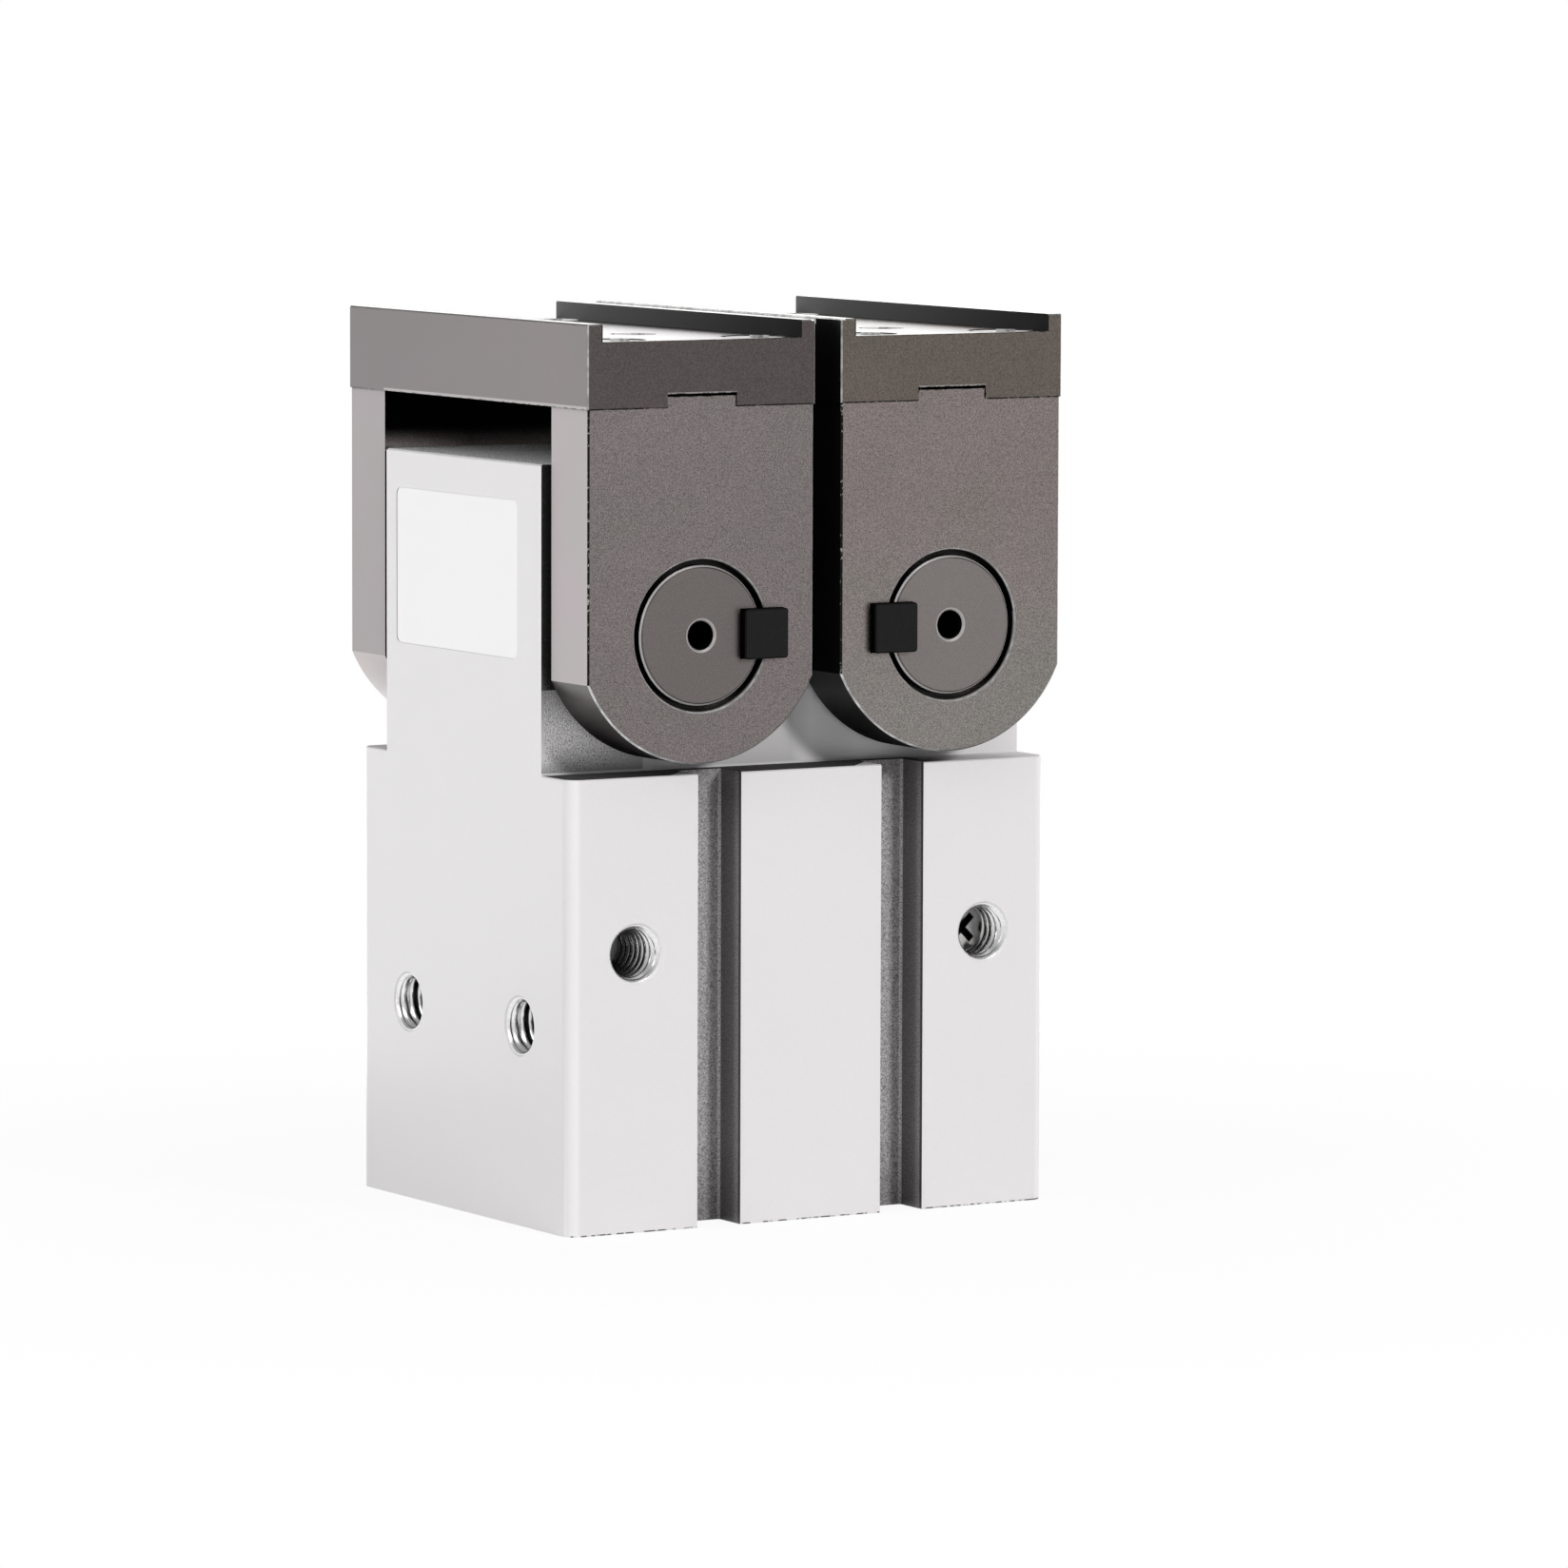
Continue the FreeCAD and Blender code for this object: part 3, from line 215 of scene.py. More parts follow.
BAR_FLOOR = BAR_HIGH.z - LIP_HEIGHT * MM
PLATE_INNER_Y = -PLATE_HIGH.y
LIP_FACE = (BAR_HIGH.x - BAR_LOW.x) / 2 - LIP_WIDTH * MM
LEDGE_Z = PLATE_LOW.z - LEDGE_DROP * MM


# Node helpers

def add_node(tree, kind, **settings):
    """New node of a kind, with plain attributes set by name."""
    node = tree.nodes.new(kind)
    for name, value in settings.items():
        setattr(node, name, value)
    return node


def join(tree, value, socket):
    """Link an output to an input socket, or set a plain value on the input."""
    if hasattr(value, "is_linked"):
        tree.links.new(value, socket)
    else:
        socket.default_value = value


def maths(tree, operation, first, second=None):
    """Math node over sockets or plain numbers; gives its output."""
    node = add_node(tree, "ShaderNodeMath", operation=operation)
    join(tree, first, node.inputs[0])
    if second is not None:
        join(tree, second, node.inputs[1])
    return node.outputs[0]


def product(tree, *values):
    """All values multiplied together."""
    result = values[0]
    for value in values[1:]:
        result = maths(tree, "MULTIPLY", result, value)
    return result


def greatest(tree, *values):
    """The largest of all values."""
    result = values[0]
    for value in values[1:]:
        result = maths(tree, "MAXIMUM", result, value)
    return result


def ranged(tree, value, low, high, new_low=0.0, new_high=1.0):
    """Value mapped from one range to another and clamped; gives its output."""
    node = add_node(tree, "ShaderNodeMapRange")
    join(tree, value, node.inputs["Value"])
    for name, number in (("From Min", low), ("From Max", high), ("To Min", new_low), ("To Max", new_high)):
        join(tree, number, node.inputs[name])
    return node.outputs["Result"]


def near(tree, value, middle, reach):
    """1 where a value lies within reach of the middle, otherwise 0."""
    return maths(tree, "LESS_THAN", size_of(tree, maths(tree, "SUBTRACT", value, middle)), reach)


def size_of(tree, value):
    """Value without its sign."""
    return maths(tree, "ABSOLUTE", value)


def above(tree, value, limit):
    """1 where a value is over a limit, otherwise 0."""
    return maths(tree, "GREATER_THAN", value, limit)


def weighted(tree, shade, weight):
    """Shade pulled towards 1: whole where the weight is 1, left out where it is 0."""
    return maths(tree, "ADD", product(tree, maths(tree, "SUBTRACT", shade, 1.0), weight), 1.0)


def below(tree, value, limit):
    """1 where a value is under a limit, otherwise 0."""
    return maths(tree, "LESS_THAN", value, limit)


def without(tree, mask):
    """1 where a mask is 0, and 0 where it is 1."""
    return maths(tree, "SUBTRACT", 1.0, mask)


def mixed(tree, share, first, second, blend="MIX"):
    """Colour mix of sockets or plain colours; gives its output."""
    node = add_node(tree, "ShaderNodeMix", data_type="RGBA", blend_type=blend)
    colours = [socket for socket in node.inputs if socket.type == "RGBA"]
    join(tree, share, node.inputs["Factor"])
    join(tree, first, colours[0])
    join(tree, second, colours[1])
    return [socket for socket in node.outputs if socket.type == "RGBA"][0]


def shaded(tree, colour, shade):
    """Colour multiplied by a grey shade."""
    grey = add_node(tree, "ShaderNodeCombineColor")
    for socket in grey.inputs:
        join(tree, shade, socket)
    return mixed(tree, 1.0, colour, grey.outputs[0], "MULTIPLY")


def surface_place(tree):
    """X, Y and Z of the surface in the CAD frame at rest."""
    node = add_node(tree, "ShaderNodeSeparateXYZ")
    join(tree, add_node(tree, "ShaderNodeTexCoord").outputs["Object"], node.inputs[0])
    return node.outputs["X"], node.outputs["Y"], node.outputs["Z"]


def surface_normal(tree):
    """X, Y and Z of the surface normal in the piece's own frame."""
    node = add_node(tree, "ShaderNodeSeparateXYZ")
    join(tree, add_node(tree, "ShaderNodeTexCoord").outputs["Normal"], node.inputs[0])
    return node.outputs["X"], node.outputs["Y"], node.outputs["Z"]


def noise(tree, scale, detail=2.0, roughness=0.6):
    """Noise over the surface place; gives its value."""
    node = add_node(tree, "ShaderNodeTexNoise")
    join(tree, add_node(tree, "ShaderNodeTexCoord").outputs["Object"], node.inputs["Vector"])
    join(tree, scale, node.inputs["Scale"])
    join(tree, detail, node.inputs["Detail"])
    join(tree, roughness, node.inputs["Roughness"])
    return node.outputs["Fac"]


# Effects that several materials share

def new_group(name, inputs, outputs):
    """Shader node group with named float inputs and outputs."""
    group = bpy.data.node_groups.new(name, "ShaderNodeTree")
    for label, value in inputs:
        socket = group.interface.new_socket(name=label, in_out="INPUT", socket_type="NodeSocketFloat")
        socket.default_value = value
    for label in outputs:
        group.interface.new_socket(name=label, in_out="OUTPUT", socket_type="NodeSocketFloat")
    return group, add_node(group, "NodeGroupInput").outputs, add_node(group, "NodeGroupOutput").inputs


def blasted_grain_group():
    """Fine speckle of a blasted and anodised surface, with slow clouding under it."""
    inputs = [("Grains per metre", 5000.0), ("Contrast", 0.1), ("Clouding", 0.03)]
    group, given, result = new_group("blasted_grain", inputs, ["Shade", "Height", "Cloud"])
    fine = noise(group, given["Grains per metre"])
    slow = noise(group, 140.0, roughness=0.5)
    fine_part = product(group, maths(group, "SUBTRACT", fine, 0.5), given["Contrast"])
    slow_part = product(group, maths(group, "SUBTRACT", slow, 0.5), given["Clouding"])
    join(group, maths(group, "ADD", maths(group, "ADD", fine_part, slow_part), 1.0), result["Shade"])
    join(group, fine, result["Height"])
    join(group, ranged(group, slow, 0.35, 0.65), result["Cloud"])
    return group


def worn_edges_group():
    """Mask of the outside edges, broken into short marks."""
    group, given, result = new_group("worn_edges", [("Width", 0.0002), ("Breaks per metre", 1500.0)],
                                     ["Broken edge"])
    bevel = add_node(group, "ShaderNodeBevel", samples=6)
    join(group, given["Width"], bevel.inputs["Radius"])
    turn = add_node(group, "ShaderNodeVectorMath", operation="DOT_PRODUCT")
    join(group, bevel.outputs["Normal"], turn.inputs[0])
    join(group, add_node(group, "ShaderNodeNewGeometry").outputs["Normal"], turn.inputs[1])
    edge = ranged(group, turn.outputs["Value"], 0.995, 0.90)
    breaks = ranged(group, noise(group, given["Breaks per metre"]), 0.48, 0.56)
    join(group, product(group, edge, breaks), result["Broken edge"])
    return group


def turned_rings_group():
    """Fine lathe rings and the distance from an axis along Y."""
    inputs = [("Axis X", 0.0), ("Axis Z", 0.0), ("Rings per metre", 9000.0)]
    group, given, result = new_group("turned_rings", inputs, ["Height", "Shade", "Radius"])
    x, _, z = surface_place(group)
    across = maths(group, "SUBTRACT", x, given["Axis X"])
    upward = maths(group, "SUBTRACT", z, given["Axis Z"])
    squares = maths(group, "ADD", product(group, across, across), product(group, upward, upward))
    radius = maths(group, "SQRT", squares)
    wave = maths(group, "SINE", product(group, radius, given["Rings per metre"], 2 * math.pi))
    join(group, wave, result["Height"])
    join(group, ranged(group, wave, -1.0, 1.0, 0.99, 1.01), result["Shade"])
    join(group, radius, result["Radius"])
    return group


def cavity_shade_group():
    """Share of open space in front of a surface: 1 in the open, near 0 in narrow gaps."""
    group, given, result = new_group("cavity_shade", [("Reach", 0.006), ("Depth", 1.5)], ["Open"])
    hollow = add_node(group, "ShaderNodeAmbientOcclusion", samples=8)
    join(group, given["Reach"], hollow.inputs["Distance"])
    join(group, maths(group, "POWER", hollow.outputs["AO"], given["Depth"]), result["Open"])
    return group


GRAIN = blasted_grain_group()
EDGES = worn_edges_group()
RINGS = turned_rings_group()
CAVITY = cavity_shade_group()


def effect(tree, group, **values):
    """Place a shared effect with its own values; an underscore stands for a space in an input's name."""
    node = add_node(tree, "ShaderNodeGroup", node_tree=group)
    for name, value in values.items():
        join(tree, value, node.inputs[name.replace("_", " ")])
    return node.outputs


# Materials

def new_material(name, roughness, metallic, specular=0.5):
    """Material with one Principled shader; gives the material, its tree and the shader's inputs."""
    material = bpy.data.materials.new(name)
    material.use_nodes = True
    shader = material.node_tree.nodes["Principled BSDF"].inputs
    shader["Roughness"].default_value = roughness
    shader["Metallic"].default_value = metallic
    shader["Specular IOR Level"].default_value = specular
    return material, material.node_tree, shader


def bumped(tree, shader, height, strength, distance):
    """Feed a height into the shader's normal."""
    bump = add_node(tree, "ShaderNodeBump")
    bump.inputs["Strength"].default_value = strength
    bump.inputs["Distance"].default_value = distance
    join(tree, height, bump.inputs["Height"])
    join(tree, bump.outputs["Normal"], shader["Normal"])


def inside_groove(tree):
    """Mask of the switch grooves' inner faces, just behind the front face."""
    x, y, _ = surface_place(tree)
    middle = abs(MOUNTS["left_switch_groove"]["pos_m"][0])
    in_width = near(tree, size_of(tree, x), middle, (GROOVE_WIDTH / 2 + GROOVE_SIDE_MARGIN) * MM)
    in_depth = near(tree, y, BLOCK_LOW.y + GROOVE_DEPTH / 2 * MM, (GROOVE_DEPTH / 2 + GROOVE_FLOOR_MARGIN) * MM)
    return product(tree, in_width, in_depth, above(tree, y, BLOCK_LOW.y + GROOVE_SIDE_MARGIN * MM))


def groove_colour(tree):
    """Groove colours, darker than the block as painted shade: a lighter floor with a painted highlight on its
    corner, darker walls with a painted highlight band and a dark line by the mouth, and more painted shade
    towards both ends.
    """
    _, y, z = surface_place(tree)
    _, facing, _ = surface_normal(tree)
    facing = size_of(tree, facing)
    band = ranged(tree, y, BLOCK_LOW.y + GROOVE_BAND_BACK * MM, BLOCK_LOW.y + GROOVE_BAND_FRONT * MM)
    wall = mixed(tree, band, (0.185, 0.177, 0.179, 1), (0.28, 0.268, 0.271, 1))
    edge = below(tree, y, BLOCK_LOW.y + GROOVE_EDGE_LINE * MM)
    wall = mixed(tree, edge, wall, (0.06, 0.057, 0.058, 1))
    floor = mixed(tree, ranged(tree, facing, 0.9, 0.99), (0.55, 0.53, 0.533, 1), (0.385, 0.372, 0.375, 1))
    ends = product(tree, ranged(tree, z, 0.0, GROOVE_FOOT_FADE * MM, 0.6, 1.0),
                   ranged(tree, z, LEDGE_Z - GROOVE_TOP_FADE * MM, LEDGE_Z, 1.0, 0.7))
    return shaded(tree, mixed(tree, above(tree, facing, 0.25), wall, floor), ends)


def covered_faces(tree):
    """Masks of the ledge under the fingers and of the head's top under the crossbars."""
    _, _, z = surface_place(tree)
    _, _, upward = surface_normal(tree)
    level = above(tree, upward, FLAT_SHARE)
    ledge = product(tree, level, near(tree, z, LEDGE_Z, LEVEL_MARGIN * MM))
    return ledge, product(tree, level, above(tree, z, BLOCK_HIGH.z - LEVEL_MARGIN * MM))


def ledge_lit_wedges(tree):
    """Mask of the lit wedges on the ledge, left of each switch groove, which the ledge's painted shadow leaves
    out.
    """
    x, y, _ = surface_place(tree)
    back = maths(tree, "SUBTRACT", y, BLOCK_LOW.y)
    streaks = []
    for word in ("left", "right"):
        start = MOUNTS[word + "_switch_groove"]["pos_m"][0] - (GROOVE_WIDTH / 2 + LEDGE_LIT_WEDGE) * MM
        along = maths(tree, "SUBTRACT", x, start)
        streaks.append(product(tree, above(tree, along, 0.0), below(tree, along, LEDGE_LIT_WEDGE * MM),
                               below(tree, back, along)))
    return greatest(tree, *streaks)


def housing_shade(tree, ledge, top):
    """Painted shade on the faces that a finger covers and on the head beside and between the feet, with painted
    light in parts; painted highlights on the corners and painted light low on the end faces.
    """
    x, y, z = surface_place(tree)
    across, facing, _ = surface_normal(tree)
    facing = size_of(tree, facing)
    from_middle = size_of(tree, x)
    open_share = effect(tree, CAVITY, Reach=0.012, Depth=1.0)["Open"]
    hidden = ranged(tree, open_share, 0.95, 0.75)
    # Painted shadow on the front ledge under the fingers, left out on the lit wedges, and painted light at its
    # right end
    covered = product(tree, ledge, hidden, below(tree, y, 0.0), without(tree, ledge_lit_wedges(tree)))
    ledge_level = ranged(tree, x, LEDGE_DARK_X * MM, LEDGE_LIGHT_X * MM, LEDGE_DARK, 1.2)
    ledge_shade = weighted(tree, ledge_level, covered)
    # Painted shade on the head's top under the crossbars
    top_shade = weighted(tree, ranged(tree, open_share, 0.05, 0.27, TOP_DARK, 0.95), top)
    upper = above(tree, z, FOOT_KINK_HEIGHT * MM)
    lower = product(tree, above(tree, z, LEDGE_Z + LEVEL_MARGIN * MM), without(tree, upper))
    leaning = above(tree, facing, LEANING_SHARE)
    # Painted shade on the strips at the head's ends behind the plates
    strip = product(tree, ranged(tree, open_share, 0.70, 0.62), leaning, upper,
                    above(tree, from_middle, BLOCK_HIGH.x - HEAD_END_STRIP * MM))
    # Painted shade on the head's front by the left foot, darkest at its kink and by the ledge, with painted
    # light between
    by_foot = product(tree, hidden, leaning, lower, below(tree, x, -FOOT_SIDE_X * MM))
    foot_shade = product(tree, ranged(tree, z, LEDGE_Z + FOOT_SHADE_RISE * MM, FOOT_KINK_HEIGHT * MM, 1.2, 0.5),
                         ranged(tree, z, LEDGE_Z, LEDGE_Z + FOOT_CONTACT_RISE * MM, 0.3, 1.0))
    # Painted shade and light on the head's front between the feet: darker to the left, lighter to the right
    between_feet = product(tree, above(tree, facing, FLAT_SHARE), lower,
                           ranged(tree, from_middle, BETWEEN_FEET_X * MM, BETWEEN_FEET_END_X * MM, 1.0, 0.0))
    feet_shade = ranged(tree, x, FEET_LIT_X * MM, FEET_SHADOW_X * MM, 0.77, 1.2)
    ends = product(tree, weighted(tree, END_STRIP_DARK, strip), weighted(tree, foot_shade, by_foot),
                   weighted(tree, feet_shade, between_feet))
    # Painted highlight on the rounded vertical corners
    corner = ranged(tree, maths(tree, "MINIMUM", size_of(tree, across), facing), 0.10, 0.35, 1.0, 1.11)
    # Painted light low on the end faces
    end_face = above(tree, size_of(tree, across), FLAT_SHARE)
    base_glow = weighted(tree, ranged(tree, z, 0.0, BASE_GLOW_HEIGHT * MM, 1.10, 1.0), end_face)
    return product(tree, ledge_shade, top_shade, ends, corner, base_glow)


def housing_roughness_share(tree):
    """Mask of the coarser surfaces: groove floors, the head's top and the head's front by the finger feet."""
    x, y, z = surface_place(tree)
    on_head = product(tree, near(tree, y, 0.0, PLATE_INNER_Y), above(tree, z, LEDGE_Z + HEAD_MARGIN * MM))
    outer = ranged(tree, x, -FOOT_SIDE_X * MM, -FOOT_COARSE_X * MM)
    end_face = near(tree, size_of(tree, x), BLOCK_HIGH.x, HEAD_MARGIN * MM)
    top = above(tree, z, BLOCK_HIGH.z - LEVEL_MARGIN * MM)
    head = product(tree, on_head, greatest(tree, outer, top), without(tree, end_face))
    return greatest(tree, inside_groove(tree), head)


def sole_shadow_line(tree):
    """Mask of the broken painted contact shadow along the front's bottom edge."""
    _, y, z = surface_place(tree)
    breaks = ranged(tree, noise(tree, SOLE_BREAKS), 0.46, 0.54)
    return product(tree, below(tree, z, SOLE_LINE_HEIGHT * MM),
                   below(tree, y, BLOCK_LOW.y + SOLE_LINE_DEPTH * MM), breaks)


def housing_material():
    """Near-white satin anodised block, coarser inside the grooves and behind the fingers, with painted shade
    and light in the grooves, round the fingers and along the bottom edge.
    """
    material, tree, shader = new_material("housing_satin", HOUSING_ROUGHNESS, 0.0, 0.3)
    ledge, top = covered_faces(tree)
    face_grain = effect(tree, GRAIN, Grains_per_metre=5200.0, Contrast=0.05, Clouding=0.02)
    rough_grain = effect(tree, GRAIN, Grains_per_metre=7500.0, Contrast=3.0, Clouding=0.10)
    colour = mixed(tree, inside_groove(tree), (0.76, 0.745, 0.752, 1), groove_colour(tree))
    colour = mixed(tree, sole_shadow_line(tree), colour, (0.12, 0.117, 0.118, 1))
    coarse = weighted(tree, rough_grain["Shade"], housing_roughness_share(tree))
    shade = product(tree, face_grain["Shade"], coarse, housing_shade(tree, ledge, top))
    join(tree, shaded(tree, colour, shade), shader["Base Color"])
    roughness = ranged(tree, greatest(tree, ledge, top), 0.0, 1.0, HOUSING_ROUGHNESS, 1.0)
    join(tree, roughness, shader["Roughness"])
    bumped(tree, shader, face_grain["Height"], 0.12, 0.00004)
    return material


def beside_pivot(tree):
    """Distance along X from the middle of a finger, the same for both fingers."""
    x, _, _ = surface_place(tree)
    return size_of(tree, maths(tree, "SUBTRACT", size_of(tree, x), PIVOT_X))


def inside_lip(tree):
    """Mask of the crossbar lips' inner faces."""
    _, _, z = surface_place(tree)
    on_lip = near(tree, beside_pivot(tree), LIP_FACE, FACE_MARGIN * MM)
    return product(tree, on_lip, above(tree, z, BAR_FLOOR))


def crossbar_holes(tree):
    """Masks of the screw and jaw hole walls in the crossbars, which carry painted light, and of the painted
    shade line round the front ones.
    """
    _, y, z = surface_place(tree)
    _, _, upward = surface_normal(tree)
    from_pivot = beside_pivot(tree)
    inner = below(tree, from_pivot, LIP_FACE)
    in_height = product(tree, above(tree, z, BAR_LOW.z + SCREW_SEAT_RISE * MM),
                        below(tree, z, BAR_FLOOR + FLOOR_MARGIN * MM))
    in_depth = below(tree, size_of(tree, y), BAR_HIGH.y - FACE_MARGIN * MM)
    walls = product(tree, inner, in_height, in_depth, below(tree, size_of(tree, upward), 0.3))
    screw_holes = product(tree, below(tree, y, 0.0), above(tree, from_pivot, SLOT_HALF_WIDTH * MM))
    return walls, product(tree, walls, screw_holes, above(tree, z, BAR_FLOOR - SCREW_HOLE_LINE * MM))


def seam_masks(tree):
    """Masks of the broken black seam between plate and crossbar, and of the painted highlight line over the
    tongue slot.
    """
    _, _, z = surface_place(tree)
    _, facing, _ = surface_normal(tree)
    from_pivot = beside_pivot(tree)
    flat = above(tree, size_of(tree, facing), FLAT_SHARE)
    breaks = ranged(tree, noise(tree, SEAM_BREAKS), 0.38, 0.46)
    seam = product(tree, flat, near(tree, z, BAR_LOW.z, SEAM_HALF * MM),
                   above(tree, from_pivot, SLOT_HALF_WIDTH * MM), breaks)
    slot = product(tree, flat, near(tree, z, BAR_LOW.z + (SLOT_HEIGHT + SEAM_HALF) * MM, SEAM_HALF * MM),
                   below(tree, from_pivot, SLOT_HALF_WIDTH * MM))
    return seam, slot


def grey_of(tree, value):
    """Grey colour from one value."""
    return shaded(tree, WHITE, value)


def facing_gap(tree):
    """Mask of the sides that the two fingers turn towards each other, while they stand close; these get painted
    shade.
    """
    x, _, _ = surface_place(tree)
    across, _, _ = surface_normal(tree)
    open_share = effect(tree, CAVITY, Reach=0.02, Depth=1.0)["Open"]
    return product(tree, below(tree, size_of(tree, x), PLATE_LOW.x + GAP_MARGIN * MM),
                   above(tree, size_of(tree, across), FLAT_SHARE), ranged(tree, open_share, 0.92, 0.6))


def finger_shade(tree, grain, foot, between):
    """Speckle on the blasted front and back, painted shade on the undersides and rear sides with painted light
    on the rear feet's undersides, a painted reflection of the head's top on the rear plates' inner faces, and
    painted shade in narrow gaps.
    """
    x, y, z = surface_place(tree)
    _, facing, upward = surface_normal(tree)
    blasted = ranged(tree, size_of(tree, facing), 0.85, 0.97)
    speckle = weighted(tree, grain["Shade"], blasted)
    front_foot = product(tree, below(tree, upward, -0.1), below(tree, y, 0.0))
    foot_shade = product(tree, ranged(tree, upward, -0.5, -0.82, foot * 0.92, foot * 0.5),
                         ranged(tree, upward, -0.8, -0.98, 1.0, 0.1),
                         ranged(tree, upward, -0.55, -0.40, 1.0, 0.25))
    underside = weighted(tree, foot_shade, front_foot)
    rear_side = product(tree, ranged(tree, y, -PLATE_INNER_Y, PLATE_INNER_Y), without(tree, blasted))
    rear_height = product(tree, ranged(tree, z, PIVOT_Z, BAR_LOW.z, 0.76, 0.83),
                          ranged(tree, upward, -0.05, -0.25, 1.0, 1.2))
    rear = weighted(tree, rear_height, rear_side)
    # Painted reflection of the head's top on the rear plates' inner faces, just above the head and stronger
    # towards the outer ends
    rear_inner = product(tree, near(tree, y, PLATE_INNER_Y, FACE_MARGIN * MM), blasted,
                         above(tree, z, BLOCK_HIGH.z - INNER_FACE_DROP * MM))
    band = ranged(tree, z, BLOCK_HIGH.z, BLOCK_HIGH.z + MIRROR_HEIGHT * MM, 1.0, 0.0)
    outer = ranged(tree, size_of(tree, x), MIRROR_FAINT_X * MM, MIRROR_FULL_X * MM, 3.0, 8.0)
    mirrored = maths(tree, "ADD", product(tree, band, band, outer), GAP_DARK)
    cavity = effect(tree, CAVITY, Reach=0.008, Depth=2.2)
    front = product(tree, blasted, below(tree, y, PLATE_LOW.y + FRONT_MARGIN * MM))
    gaps = weighted(tree, cavity["Open"], without(tree, greatest(tree, rear_inner, front)))
    return product(tree, speckle, underside, rear, weighted(tree, GAP_DARK, between),
                   weighted(tree, mirrored, rear_inner), gaps)


def chamfer_masks(tree, side, left_marks, between):
    """Masks of rubbed chamfers with painted highlights and of broken black marks on the left front edges, and
    the grey level of the painted highlights, lighter on chamfers that face left.
    """
    x, y, z = surface_place(tree)
    across, facing, upward = surface_normal(tree)
    radius = effect(tree, RINGS, Axis_X=side * PIVOT_X, Axis_Z=PIVOT_Z)["Radius"]
    outside = above(tree, radius, PLATE_FACE_RADIUS * MM)
    upright = product(tree, outside, near(tree, size_of(tree, across), CHAMFER_SHARE, 0.04))
    chamfer = product(tree, near(tree, size_of(tree, facing), CHAMFER_SHARE, 0.2),
                      above(tree, radius, (RELIEF_RADIUS + RELIEF_MARGIN) * MM))
    breaks = ranged(tree, noise(tree, EDGE_BREAKS), 0.28, 0.40)
    marks = product(tree, chamfer, upright, below(tree, across, 0.0), breaks, left_marks)
    # Painted highlight on the inner lips' top chamfers and on the top rims of the sides facing the gap
    rim_highlight = product(tree, between, above(tree, z, BAR_HIGH.z - LIP_RIM_HEIGHT * MM),
                       above(tree, y, BAR_LOW.y + LIP_RIM_START * MM))
    lit_lip_edge = product(tree, greatest(tree, near(tree, upward, CHAMFER_SHARE, 0.1), rim_highlight),
                       below(tree, size_of(tree, x), BAR_LOW.x + LIP_EDGE_REACH * MM))
    # Grey levels of the painted highlights: foot chamfers lighter where they face left, then ring chamfers,
    # upright edges and lip tops
    foot_level = product(tree, outside, without(tree, upright), ranged(tree, across, -0.36, 0.0, 0.55, 0.10))
    level = maths(tree, "ADD", foot_level, product(tree, without(tree, outside), 0.33))
    level = greatest(tree, level, product(tree, upright, 0.36), product(tree, lit_lip_edge, 0.9))
    patches = ranged(tree, noise(tree, RUBBED_AND_LIT_PATCHES), 0.35, 0.65, 0.6, 1.2)
    rubbed_and_lit = greatest(tree, product(tree, chamfer, without(tree, marks)), lit_lip_edge)
    return rubbed_and_lit, marks, product(tree, level, patches)


